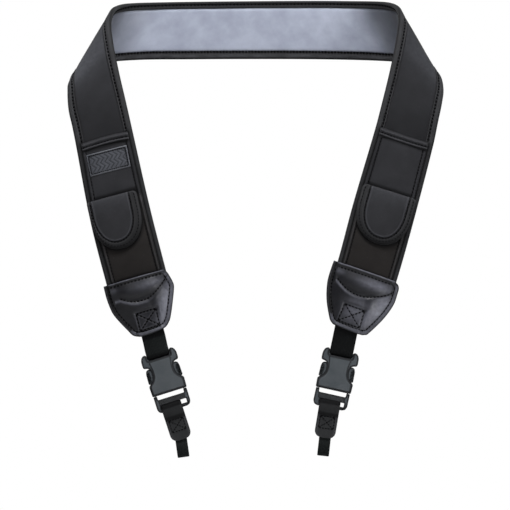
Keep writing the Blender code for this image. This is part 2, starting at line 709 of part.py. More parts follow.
def build_tab(side, lug_frame):
    """A sheath folded round the frame's lower bar, with a round lower end and a mouth for the lug loop."""
    frame = hanging_frame(f"{side.name}_tab_hang", side.tab)
    name = f"{side.name}_tab"
    bar_wide = (FRAME_FOOT - TAB_SLOT[1]) / 2 + TAB_PLAY
    profile = folded_band(0.0, FRAME_THICK / 2, bar_wide, TAB_WALL, 0.0, TAB_FOOT + 0.5, 0.0, TAB_HALF)
    tab = add_object(name, plate_mesh(name, profile, TAB_WIDTH, upright=False), "tab_fabric", frame)
    outline = rounded_rectangle(TAB_WIDTH / 2 + 0.2, -9.0, TAB_FOOT, TAB_CORNER)
    round_end = add_cutter(f"{name}_outline", plate_mesh(f"{name}_outline", [outline], 20.0), frame)
    boolean(tab, round_end, "INTERSECT")
    half, top, foot = LUG_HALF + GAP, LUG_TOP - GAP, 6.0
    mouth = [(-half, top), (half, top), (half, foot), (-half, foot)]
    cutter = plate_mesh(f"{name}_mouth", [mouth], LUG_WIDTH + 2 * GAP, upright=False)
    boolean(tab, add_cutter(f"{name}_mouth", cutter, lug_frame), "DIFFERENCE")


def build_lug_loop(side, frame):
    """Narrow webbing out of the tab's mouth, opened into a loop at its foot."""
    name = f"{side.name}_lug_loop"
    profile = folded_band(
        LUG_EYE_DOWN, LUG_EYE_HALF, LUG_EYE_WIDE, LUG_WALL, LUG_TOP, LUG_EYE_DOWN, LUG_HALF, 0.0, slope=4.0
    )
    add_object(name, plate_mesh(name, profile, LUG_WIDTH, upright=False), "webbing", frame)


def build_arm(side):
    build_hem_and_panel(side)
    build_bag(side)
    build_flap(side)
    if side.name == "left":
        build_label(side)
    chain = hanging_frame(f"{side.name}_buckle_hang", side.buckle)
    web_cutter = build_web(side, chain)
    build_cap(side, web_cutter)
    build_socket(side, chain)
    build_frame(side, chain)
    lug_frame = hanging_frame(f"{side.name}_lug_hang", side.lug)
    build_tab(side, lug_frame)
    build_lug_loop(side, lug_frame)


clear_scene()
PIECES = new_collection("camera_neck_strap")
CUTTERS = new_collection("cutters")
STRIP = Strip(RULINGS)
build_strip()
for arm in SIDES:
    build_arm(arm)
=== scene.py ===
"""Looks of a camera neck strap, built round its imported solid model.

Every soft piece is laid out on the padded strip like a pattern piece: by its distance along the strip, its
distance across it and its height over the strip's middle surface. Buckles, webbing, tabs and lug loops hang
below the end caps, each in a frame of its own. Lengths are millimetres until a mesh is written.
"""

import logging
import math
from dataclasses import dataclass, field
from enum import Enum
from typing import Any, Callable, Sequence

import bpy
import numpy as np
from bpy.types import Material, Mesh, Node, NodeSocket, NodeTree, Object
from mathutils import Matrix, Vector
from mathutils.geometry import tessellate_polygon


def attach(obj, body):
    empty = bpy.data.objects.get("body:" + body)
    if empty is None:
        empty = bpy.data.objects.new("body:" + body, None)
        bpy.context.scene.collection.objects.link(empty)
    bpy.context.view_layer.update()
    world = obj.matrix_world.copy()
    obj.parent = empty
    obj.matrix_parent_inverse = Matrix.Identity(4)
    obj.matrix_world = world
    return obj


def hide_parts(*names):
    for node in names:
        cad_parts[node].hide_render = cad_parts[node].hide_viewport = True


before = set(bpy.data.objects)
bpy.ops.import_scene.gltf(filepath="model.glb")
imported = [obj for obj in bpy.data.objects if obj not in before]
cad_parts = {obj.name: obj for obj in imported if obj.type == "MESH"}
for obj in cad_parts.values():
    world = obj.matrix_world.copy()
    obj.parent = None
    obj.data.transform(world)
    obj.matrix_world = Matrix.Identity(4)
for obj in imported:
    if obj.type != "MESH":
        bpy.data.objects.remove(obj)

Array = np.ndarray
Pair = tuple[float, float]
Triple = tuple[float, float, float]
Knots = Sequence[Pair]

MM = 0.001
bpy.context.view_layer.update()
LOG = logging.getLogger("neck strap")


# ---- The strip's surface ----
def unit(vectors: Array, least: float = 0.0) -> Array:
    """The vectors made 1 long, or less where they are shorter than the least length."""
    return vectors / np.maximum(np.linalg.norm(vectors, axis=-1, keepdims=True), least)


def run_along(points: Array) -> Array:
    """The distance along a line of points, at each of them."""
    return np.concatenate([[0], np.cumsum(np.linalg.norm(np.diff(points, axis=0), axis=1))])


def left_of(way: Array) -> Array:
    """The directions to the left of these ones."""
    return np.stack([-way[:, 1], way[:, 0]], axis=1)


# Straight lines across the strip, each by its inner and its outer end, from the left end cap to the right one.
RULINGS = (
    ((-75, -53, -293.9), (-133.3, -53, -311.3)),
    ((-89.8, -50, -238.5), (-148.6, -50, -255.4)),
    ((-106.1, -42, -174.8), (-165.1, -42, -191.3)),
    ((-123.7, -34, -97.3), (-180.1, -34, -112.8)),
    ((-129.5, -31, -71.8), (-183.4, -31, -96.5)),
    ((-136.3, -26, -42.8), (-187.3, -26, -78.9)),
    ((-142.6, -19, -11.5), (-188, -16, -60)),
    ((-145.1, -10, 9.2), (-186.1, -8, -53.6)),
    ((-142.9, 0, 20.2), (-183.5, 0, -48)),
    ((-137.4, 15.5, 25.4), (-177.2, 19, -41.6)),
    ((-126.4, 28.5, 28.1), (-162.4, 35.5, -33)),
    ((-98.4, 37.5, 29.4), (-122.4, 47, -28.6)),
    ((-59.4, 40, 30.1), (-67.4, 48.5, -27.8)),
    ((0, 40.5, 30.7), (0, 49, -27.5)),
    ((58.6, 40, 31), (66.6, 48.5, -27.8)),
    ((97.6, 37.5, 30.7), (122.6, 47, -29.2)),
    ((126.2, 28.5, 29.8), (162.6, 35.5, -32.4)),
    ((138, 15.5, 27.1), (176, 19, -37.6)),
    ((143.2, 0, 21), (181, 0, -44.4)),
    ((143.6, -10, 9.6), (185.8, -8, -50.2)),
    ((140.4, -19, -11.8), (188, -16, -59.8)),
    ((134, -26, -42.3), (187, -26, -71.8)),
    ((127, -31, -70.8), (182.8, -31, -91.8)),
    ((120.2, -34, -97), (177.8, -34, -115.6)),
    ((97.6, -42, -173.8), (157.7, -42, -192.8)),
    ((81.8, -50, -232.2), (140.6, -50, -252.4)),
    ((64, -53, -287.4), (121.8, -53, -307.2)),
)
NECK_ROW = 13
LEFT_CAP_ROW, RIGHT_CAP_ROW = 1, 25
LINING_FACE = -2.9


class Strip:
    """The ruled middle surface of the padded strip."""

    def __init__(self, rulings: Sequence[tuple[Triple, Triple]]) -> None:
        """Lays the surface through straight lines across it.

        Args:
            rulings: the inner and the outer end of each line, from the left end cap to the right one.
        """
        self.inner, self.outer = np.array(rulings, float).transpose(1, 0, 2)
        run = run_along((self.inner + self.outer) / 2)
        self.stations = run - run[NECK_ROW]
        self.origin = np.zeros(3)
        self.origin = self.place(np.zeros(1), np.zeros(1), np.full(1, LINING_FACE))[0]

    def edge(self, ends: Array, station: Array) -> Array:
        """One edge of the strip.

        Args:
            ends: the rulings' ends on that edge.
            station: distances along the strip.

        Returns:
            The places of a smooth curve through those ends.
        """
        knots = self.stations
        last = len(knots) - 1
        row = np.clip(np.searchsorted(knots, station, side="left") - 1, 0, last - 1)
        length = knots[row + 1] - knots[row]
        share = ((station - knots[row]) / length)[..., None]
        length = length[..., None]

        def slope(at: Array) -> Array:
            """The edge's change for each millimetre at a knot."""
            low, high = np.maximum(at - 1, 0), np.minimum(at + 1, last)
            return (ends[high] - ends[low]) / (knots[high] - knots[low])[..., None]

        square, cube = share**2, share**3
        value = ends[row] * (2 * cube - 3 * square + 1) + ends[row + 1] * (3 * square - 2 * cube)
        value += slope(row) * length * (cube - 2 * square + share)
        return value + slope(row + 1) * length * (cube - square)

    def edges(self, station: Array) -> tuple[Array, Array]:
        """The inner and the outer edge at each station."""
        return self.edge(self.inner, station), self.edge(self.outer, station)

    def width(self, station: Array) -> Array:
        """The strip's width square across.

        Args:
            station: distances along the strip.

        Returns:
            The width at each of them.
        """
        inner, outer = self.edges(station)
        along = unit(sum(self.edges(station + 1)) - sum(self.edges(station - 1)))
        return np.linalg.norm(np.cross(inner - outer, along), axis=-1)

    def place(self, station: Array, across: Array, height: Array | float) -> Array:
        """Points on or over the strip.

        Args:
            station: distance along the strip from the middle of the neck, positive to the right.
            across: distance across it, positive to the inner edge.
            height: height over the middle surface, positive on the outer face.

        Returns:
            The points, with one axis more than the arguments.
        """
        station, across, height = np.broadcast_arrays(station, across, height)
        inner, outer = self.edges(station)
        share = (0.5 + across / self.width(station))[..., None]
        after, before = self.edges(station + 0.5), self.edges(station - 0.5)
        along = (after[1] - before[1]) * (1 - share) + (after[0] - before[0]) * share
        normal = unit(np.cross(inner - outer, along))
        return outer * (1 - share) + inner * share + normal * height[..., None] - self.origin


STRIP = Strip(RULINGS)


@dataclass(frozen=True)
class Hang:
    """The frame of a piece that hangs: its upper middle, its lean in degrees and how much its foot is drawn up."""

    SHORT_FROM, SHORT_OVER = 24, 8

    x: float
    z: float
    lean: float
    depth: float = -54.5
    shorten: float = 0.0

    def place(self, across: Array, depth: Array | float, down: Array) -> Array:
        """Points of the hanging piece.

        Args:
            across: distance across it, positive to the right.
            depth: distance away from the viewer.
            down: distance down it.

        Returns:
            The points, with one axis more than the arguments.
        """
        across, depth, down = np.broadcast_arrays(across, depth, down)
        down = down - self.shorten * np.clip((down - self.SHORT_FROM) / self.SHORT_OVER, 0, 1)
        turn = math.radians(self.lean)
        x = self.x + across * math.cos(turn) + down * math.sin(turn)
        z = self.z + across * math.sin(turn) - down * math.cos(turn)
        return np.stack([x, self.depth + depth, z], axis=-1) - STRIP.origin


@dataclass(frozen=True)
class Arm:
    """One arm of the strap, with the places of what is sewn to it or hangs from it.

    Distances along the arm are counted up from the top edge of its end cap. The cap's highlights are how strong
    the painted highlights on its swell and on its box of stitches are, and how far the painted highlight on its
    flank reaches.
    """

    name: str
    cap_row: int
    way: int
    flap_edge: Pair
    flap_seam: Pair
    flap_foot: float
    flap_seam_foot: float
    flap_corners: Pair
    cap_outline: Knots
    cap_arc: Knots
    cap_box: Knots
    cap_sign: float
    cap_highlights: Triple
    slot_left: float
    buckle: Hang
    tab: Hang
    lug: Hang

    def station(self, distance: Array | float) -> Array:
        """Stations of places this far above the end cap."""
        return STRIP.stations[self.cap_row] - self.way * np.asarray(distance, float)

    def lay(self, distance: Array, across: Array, height: Array | float) -> Array:
        """Points laid on this arm."""
        return STRIP.place(self.station(distance), across, height)


LEFT = Arm(
    name="left", cap_row=LEFT_CAP_ROW, way=-1,
    flap_edge=(-30.4, 21), flap_seam=(-26.4, 12.2), flap_foot=30.6, flap_seam_foot=38.6,
    flap_corners=(2, 5),
    cap_outline=(
        (0.3, 28.2), (1.2, 29.8), (5, 31.7), (9, 32.9), (13, 33.9), (19.4, 34.2), (32.2, 29.6), (47, 23.3),
        (53, 19.3), (56.6, 14.4), (58.6, 3.4), (59, -8.2), (57.6, -13.9), (54.9, -18.5), (49, -22),
        (38, -28), (27.9, -32.3), (14.8, -34.1), (5, -34.2), (0.3, -34),
    ),
    cap_arc=((7, 29.5), (10.9, 26.2), (18.1, 17.1), (22.6, 9.5), (24, 3.3), (23.3, -8.4), (19, -17.6),
             (16.4, -21.6)),
    cap_box=((35.5, -9.7), (35.7, 10.9), (52.2, 10.3), (53.5, -10)),
    cap_sign=1, cap_highlights=(0.42, 0.05, 7.4), slot_left=-12.5,
    buckle=Hang(-96.4, -327.4, 17.4), tab=Hang(-83.3, -377.7, 18), lug=Hang(-73.9, -411.5, 8),
)
RIGHT = Arm(
    name="right", cap_row=RIGHT_CAP_ROW, way=1,
    flap_edge=(-29.2, 27.5), flap_seam=(-21.6, 18.6), flap_foot=29.8, flap_seam_foot=36.6,
    flap_corners=(5, 5),
    cap_outline=(
        (-0.6, 34.9), (7.8, 35.3), (21.7, 34.7), (38.3, 29.9), (54.4, 21.5), (58.4, 17.9), (60.1, 14.2),
        (61.2, 2.2), (61.2, -12.8), (59.8, -17.8), (57.3, -20.9), (39.4, -30.1), (22.7, -35.4), (9.8, -35.8),
        (4.6, -35.4), (1.4, -33.4), (0.2, -30.7),
    ),
    cap_arc=((14.6, 26.6), (16.4, 24.5), (21.9, 14.7), (24.5, 4.4), (24.2, -5.6), (21.1, -14.7), (16, -25.1),
             (11.2, -30.7)),
    cap_box=((36.8, 11.1), (37.2, -9.9), (55.1, -10.6), (54.8, 12.4)),
    cap_sign=-1, cap_highlights=(0.72, 0.6, 9.5), slot_left=-10.7,
    buckle=Hang(85.1, -326.2, -12.5, shorten=1.5), tab=Hang(74.1, -374.8, -9.5), lug=Hang(69.1, -410.2, -6.2),
)


# ---- Shapes ----
def eased(knots: Knots, at: Array) -> Array:
    """Values of a smooth line that never swings past its knots.

    Args:
        knots: (place, value) points of the line.
        at: the places asked for.

    Returns:
        The line's values there.
    """
    places, values = np.array(knots, float).T
    steps = np.diff(places)
    rises = np.diff(values) / steps
    both = rises[:-1] * rises[1:]
    inner = np.where(both > 0, 2 * both / np.where(both > 0, rises[:-1] + rises[1:], 1), 0)
    slopes = np.concatenate([[0], inner, [0]])
    at = np.clip(at, places[0], places[-1])
    row = np.clip(np.searchsorted(places, at, side="right") - 1, 0, len(places) - 2)
    share = (at - places[row]) / steps[row]
    square, cube = share**2, share**3
    start, end = slopes[row] * (cube - 2 * square + share), slopes[row + 1] * (cube - square)
    level = values[row] * (2 * cube - 3 * square + 1) + values[row + 1] * (3 * square - 2 * cube)
    return level + (start + end) * steps[row]


def ripple(first: Array, second: Array, size: float, phase: float = 0.0) -> Array:
    """A gentle unevenness.

    Args:
        first, second: the places, along two directions.
        size: about how far it is from crest to crest, in millimetres.
        phase: tells one unevenness from the next.

    Returns:
        Values between -1 and 1.
    """
    turn = 2 * math.pi / size
    wave = np.sin(turn * (0.83 * first + 0.31 * second) + phase)
    wave = wave + np.sin(turn * (0.79 * second - 0.37 * first) + 1.7 * phase + 1.3)
    wave = wave + 0.7 * np.sin(turn * (0.21 * first + 1.27 * second) + 2.3 * phase + 0.4)
    return wave / 2.7


def curve_through(points: Knots, count: int, closed: bool = False) -> Array:
    """A smooth line through a few points.

    Args:
        points: the points.
        count: how many points the line gets.
        closed: whether it runs back to its start.

    Returns:
        Evenly spaced points along it.
    """
    line = np.array(points, float)
    if closed:
        line = np.concatenate([line[-1:], line, line[:2]])
    else:
        line = np.concatenate([2 * line[:1] - line[1:2], line, 2 * line[-1:] - line[-2:-1]])
    pieces = []
    share = np.linspace(0, 1, 13)[:-1, None]
    for p0, p1, p2, p3 in zip(line, line[1:], line[2:], line[3:]):
        piece = 2 * p1 + (p2 - p0) * share + (2 * p0 - 5 * p1 + 4 * p2 - p3) * share**2
        pieces.append((piece + (3 * p1 - p0 - 3 * p2 + p3) * share**3) / 2)
    dense = np.concatenate([*pieces, line[-2:-1]])
    run = run_along(dense)
    wanted = np.linspace(0, run[-1], count + 1)[:-1] if closed else np.linspace(0, run[-1], count)
    return np.stack([np.interp(wanted, run, dense[:, axis]) for axis in range(dense.shape[1])], axis=1)


def nearest(line: Array, first: Array, second: Array) -> Array:
    """The distance of places from a line.

    Args:
        line: the points of the line.
        first, second: the places.

    Returns:
        The shortest distance of each place.
    """
    best = np.full(first.shape, 1e9)
    for start, end in zip(line, line[1:]):
        way = end - start
        share = ((first - start[0]) * way[0] + (second - start[1]) * way[1]) / max(float(way @ way), 1e-9)
        share = np.clip(share, 0, 1)
        gap = np.hypot(first - start[0] - share * way[0], second - start[1] - share * way[1])
        best = np.minimum(best, gap)
    return best


def filleted(outline: Knots, radius: float, steps: int = 5) -> list[Pair]:
    """A closed outline with its corners rounded.

    Args:
        outline: its corners.
        radius: how far from a corner the rounding starts, where there is room.
        steps: the points that each corner gets.

    Returns:
        The rounded outline.
    """
    corners = np.array(outline, float)
    rounded: list[Pair] = []
    for before, corner, after in zip(np.roll(corners, 1, axis=0), corners, np.roll(corners, -1, axis=0)):
        back, ahead = before - corner, after - corner
        reach = min(radius, 0.48 * float(np.linalg.norm(back)), 0.48 * float(np.linalg.norm(ahead)))
        start = corner + unit(back) * reach
        end = corner + unit(ahead) * reach
        for share in np.linspace(0, 1, steps):
            point = start * (1 - share) ** 2 + corner * 2 * share * (1 - share) + end * share**2
            rounded.append((float(point[0]), float(point[1])))
    return rounded


def inset(loop: Array, amount: float) -> Array:
    """A closed loop moved sideways.

    Args:
        loop: its (across, down) points.
        amount: how far it moves towards its left side.

    Returns:
        The moved loop.
    """
    tiny = 1e-9
    first = unit(loop - np.roll(loop, 1, axis=0), tiny)
    second = unit(np.roll(loop, -1, axis=0) - loop, tiny)
    way = unit(first + second, tiny)
    slant = np.maximum(np.abs(np.sum(way * second, axis=1)), 0.6)
    return loop + left_of(way) * amount / slant[:, None]


def turned_left(loop: Array) -> Array:
    """The same loop, running so that its inside is on its left."""
    after = np.roll(loop, -1, axis=0)
    return loop if np.sum(loop[:, 0] * after[:, 1] - after[:, 0] * loop[:, 1]) > 0 else loop[::-1]


def sided(outline: Knots, sign: float) -> list[Pair]:
    """The outline as it is on the right side, or on the left one where the sign is -1."""
    return [(sign * across, down) for across, down in outline]


def mirrored(half: Knots) -> list[Pair]:
    """A whole outline from its right half."""
    return [*half, *sided(half[::-1], -1)]


@dataclass
class Shape:
    """Points and faces of one mesh while it is made; closed bodies can be added to it."""

    points: list[Array] = field(default_factory=list)
    cloth: list[Array] = field(default_factory=list)
    light_and_wear_marks: list[Array] = field(default_factory=list)
    faces: list[list[int]] = field(default_factory=list)
    count: int = 0

    def add(
        self, points: Array, faces: list[list[int]], cloth: Array | None = None, light_and_wear_marks: Array | None = None
    ) -> None:
        """Adds a closed body and turns its faces outwards.

        Args:
            points: its points, in millimetres.
            faces: its faces, by point number.
            cloth: the place of each point on its cloth, in millimetres.
            light_and_wear_marks: for each point, from 0 to 1, how much painted shade it gets, and how much wear
                and painted highlight.
        """
        fans = np.array([(face[0], *pair) for face in faces for pair in zip(face[1:], face[2:])])
        first, second, third = (points - points.mean(axis=0))[fans].transpose(1, 0, 2)
        if np.sum(first * np.cross(second, third)) < 0:
            faces = [face[::-1] for face in faces]
        self.points.append(points)
        self.cloth.append(points[:, :2] if cloth is None else cloth.reshape(-1, 2))
        self.light_and_wear_marks.append(np.zeros((len(points), 2)) if light_and_wear_marks is None else np.clip(light_and_wear_marks.reshape(-1, 2), 0, 1))
        self.faces += [[index + self.count for index in face] for face in faces]
        self.count += len(points)

    def mesh(self, name: str, sharp: float = 40.0) -> Mesh:
        """The finished mesh.

        Args:
            name: its name.
            sharp: faces that meet at more than this angle, in degrees, meet in a sharp edge.

        Returns:
            The mesh, in metres, with the cloth's places and its amounts of painted shade, wear and painted
            highlight as texture coordinates.
        """
        mesh = bpy.data.meshes.new(name)
        mesh.from_pydata((np.concatenate(self.points) * MM).tolist(), [], self.faces)
        corners = np.empty(len(mesh.loops), np.int32)
        mesh.loops.foreach_get("vertex_index", corners)
        for title, values in (("cloth", self.cloth), ("light_and_wear_marks", self.light_and_wear_marks)):
            layer = mesh.uv_layers.new(name=title)
            layer.uv.foreach_set("vector", np.concatenate(values)[corners].astype(np.float32).ravel())
        mesh.shade_smooth()
        mesh.set_sharp_from_angle(angle=math.radians(sharp))
        return mesh


def grid_quads(index: Array, closed: bool = False) -> Array:
    """The quads between neighbouring rows and columns of point numbers; closed, also round to the first column."""
    index = np.concatenate([index, index[:, :1]], axis=1) if closed else index
    return np.stack([index[:-1, :-1], index[:-1, 1:], index[1:, 1:], index[1:, :-1]], axis=-1).reshape(-1, 4)


def slab(shape: Shape, top: Array, floor: Array, cloth: Array, light_and_wear_marks: Array) -> None:
    """Adds a closed body between two sheets of points that share a plan.

    Args:
        shape: the mesh in the making.
        top: one sheet's points, by row and column.
        floor: the other sheet's points.
        cloth: the place of each point on the cloth.
        light_and_wear_marks: the painted shade, wear and painted highlight amounts of both sheets' points.
    """
    rows, columns = top.shape[:2]
    index = np.arange(rows * columns).reshape(rows, columns)
    below = index + rows * columns
    quads = [grid_quads(index), grid_quads(below)[:, ::-1]]
    for line in (index[0], index[:, -1], index[-1][::-1], index[:, 0][::-1]):
        under = line + rows * columns
        quads.append(np.stack([line[1:], line[:-1], under[:-1], under[1:]], axis=-1))
    points = np.concatenate([top, floor]).reshape(-1, 3)
    shape.add(points, np.concatenate(quads).tolist(), np.concatenate([cloth] * 2), np.concatenate([light_and_wear_marks] * 2))


def loft(shape: Shape, rings: Array, cloth: Array, light_and_wear_marks: Array) -> None:
    """Adds a closed body through rings of points, with a flat face at each end.

    Args:
        shape: the mesh in the making.
        rings: the points, by ring and by place in it.
        cloth: the place of each point on the cloth.
        light_and_wear_marks: the painted shade, wear and painted highlight amounts of each point.
    """
    index = np.arange(rings.shape[0] * rings.shape[1]).reshape(rings.shape[:2])
    ends = [index[0][::-1].tolist(), index[-1].tolist()]
    shape.add(rings.reshape(-1, 3), grid_quads(index, closed=True).tolist() + ends, cloth, light_and_wear_marks)


def bell(at: Array, middle: float, reach: float) -> Array:
    """A smooth hump of height 1 about the middle."""
    return np.exp(-(((at - middle) / reach) ** 2))


def paired(first: Array, second: Array | float = 0.0) -> Array:
    """Two values for each place: across and along the cloth, or its painted shade and its wear and painted
    highlight.
    """
    return np.stack(np.broadcast_arrays(first, second), axis=-1)


def plan(rows: Array, columns: Array) -> tuple[Array, Array]:
    """Row and column values spread over a grid."""
    first, second = np.meshgrid(rows, columns, indexing="ij")
    return first, second


def close_columns(count: int) -> Array:
    """Shares from -1 to 1, closer together towards both ends."""
    share = np.linspace(-1, 1, count)
    return share * 1.28 - share**3 * 0.28


@dataclass(frozen=True)
class Thread:
    """A sewing thread: its radius and the length of its stitches and of the gaps between them."""

    # A stitch's sections: how far along it they are, and their width and lift as shares of its radius.
    RINGS = ((0, 0.4, -0.9), (0.16, 0.9, -0.1), (0.5, 1, 0.35), (0.84, 0.9, -0.1), (1, 0.4, -0.9))
    SIDES = 6

    radius: float = 0.36
    stitch: float = 2.45
    gap: float = 0.55

    def sew(self, shape: Shape, path: Array, out: Array) -> None:
        """Adds a row of stitches.

        Args:
            shape: the mesh in the making.
            path: points along the row.
            out: the direction away from the cloth at each point.
        """
        run = run_along(path)
        number = max(int(round(run[-1] / (self.stitch + self.gap))), 1)
        pitch = run[-1] / number
        starts = np.arange(number) * pitch + self.gap / 2

        def at(where: Array, values: Array) -> Array:
            """Values of the row at each distance along it."""
            return np.stack([np.interp(where, run, values[:, axis]) for axis in range(3)], axis=1)

        first, last = at(starts, path), at(starts + pitch - self.gap, path)
        up = unit(at(starts + pitch / 2, out))
        way = last - first
        side = unit(np.cross(up, way), 1e-9)
        turns = np.arange(self.SIDES) * 2 * math.pi / self.SIDES
        points = []
        for share, wide, lift in self.RINGS:
            middle = first + way * share + up * self.radius * lift
            for turn in turns:
                points.append(middle + (side * math.cos(turn) + up * math.sin(turn)) * self.radius * wide)
        size = len(points)
        index = np.arange(size).reshape(-1, self.SIDES)
        ends = np.array([[0, 3, 2, 1], [0, 5, 4, 3]])
        quads = np.concatenate([grid_quads(index, closed=True)[:, ::-1], ends[:, ::-1], ends + index[-1, 0]])
        whole = quads[None] + (np.arange(number) * size)[:, None, None]
        shape.add(np.stack(points, axis=1).reshape(-1, 3), whole.reshape(-1, 4).tolist())


def sew_on(arm: Arm, line: Array, height: Array | float, shape: Shape, thread: Thread, face: float = 1.0) -> None:
    """Sews a row, of (distance above the cap, across) points, on the outer face of an arm or on face -1."""
    path = arm.lay(line[:, 0], line[:, 1], height)
    thread.sew(shape, path, arm.lay(line[:, 0], line[:, 1], height + face) - path)


# ---- Shader node groups ----
class Desk:
    """Lays out the nodes of one tree."""

    def __init__(self, tree: NodeTree) -> None:
        """Clears a tree to lay it out anew."""
        self.tree = tree
        tree.nodes.clear()

    def put(self, kind: str, inputs: dict[str | int, Any] | None = None, **settings: Any) -> Node:
        """Adds a node.

        Args:
            kind: its type, without the ShaderNode that it starts with.
            inputs: a value or another node's output for each input, by name or number.
            **settings: the node's own settings.

        Returns:
            The node.
        """
        node = self.tree.nodes.new("ShaderNode" + kind)
        for name, value in settings.items():
            setattr(node, name, value)
        for name, value in (inputs or {}).items():
            if isinstance(value, NodeSocket):
                self.tree.links.new(value, node.inputs[name])
            else:
                node.inputs[name].default_value = value
        return node

    def math(self, operation: str, *values: Any, clamp: bool = False) -> NodeSocket:
        """The output of a Math node on up to three values."""
        return self.put("Math", dict(enumerate(values)), operation=operation, use_clamp=clamp).outputs[0]

    def times(self, first: Any, second: Any, clamp: bool = False) -> NodeSocket:
        """The product of two values."""
        return self.math("MULTIPLY", first, second, clamp=clamp)

    def scaled(self, value: Any, scale: Any, more: Any, clamp: bool = False) -> NodeSocket:
        """The value times a scale, and something more."""
        return self.math("MULTIPLY_ADD", value, scale, more, clamp=clamp)

    def blend(self, share: Any, first: Any, second: Any) -> NodeSocket:
        """The output of a colour mix."""
        return self.put("Mix", {0: share, 6: first, 7: second}, data_type="RGBA").outputs[2]

    def noise(self, where: Any, scale: float, detail: float = 3.0, rough: float = 0.55) -> NodeSocket:
        """The value of a noise texture, about 0.5 on average."""
        inputs = {"Vector": where, "Scale": scale, "Detail": detail, "Roughness": rough}
        return self.put("TexNoise", inputs).outputs["Fac"]

    def spread(self, value: Any, given: Pair = (0, 1), made: Pair = (0, 1)) -> NodeSocket:
        """The value with one range of numbers spread over another."""
        return self.put("MapRange", {0: value, 1: given[0], 2: given[1], 3: made[0], 4: made[1]}).outputs[0]

    def seen_as(self, shader: Node, seen: Node, output: str) -> None:
        """Ends a tree whose surface lights by one shader and is seen by the camera as another.

        Args:
            shader: what lights and is lit.
            seen: what the camera sees.
            output: the output node's type.
        """
        camera = self.put("LightPath").outputs["Is Camera Ray"]
        mixed = self.put("MixShader", {0: camera, 1: shader.outputs[0], 2: seen.outputs[0]})
        self.put(output, {"Surface": mixed.outputs[0]})

    def give(self, **outputs: NodeSocket) -> NodeTree:
        """Ends a group.

        Args:
            **outputs: what it puts out; Colour is a colour and the others are numbers.

        Returns:
            The group.
        """
        for name in outputs:
            kind = Socket.COLOUR if name == "Colour" else Socket.NUMBER
            self.tree.interface.new_socket(name, in_out="OUTPUT", socket_type=kind.value)
        end = self.tree.nodes.new("NodeGroupOutput")
        for name, value in outputs.items():
            self.tree.links.new(value, end.inputs[name])
        return self.tree


class Socket(Enum):
    """Kinds of socket on a node group."""

    NUMBER = "NodeSocketFloat"
    COLOUR = "NodeSocketColor"
    PLACE = "NodeSocketVector"


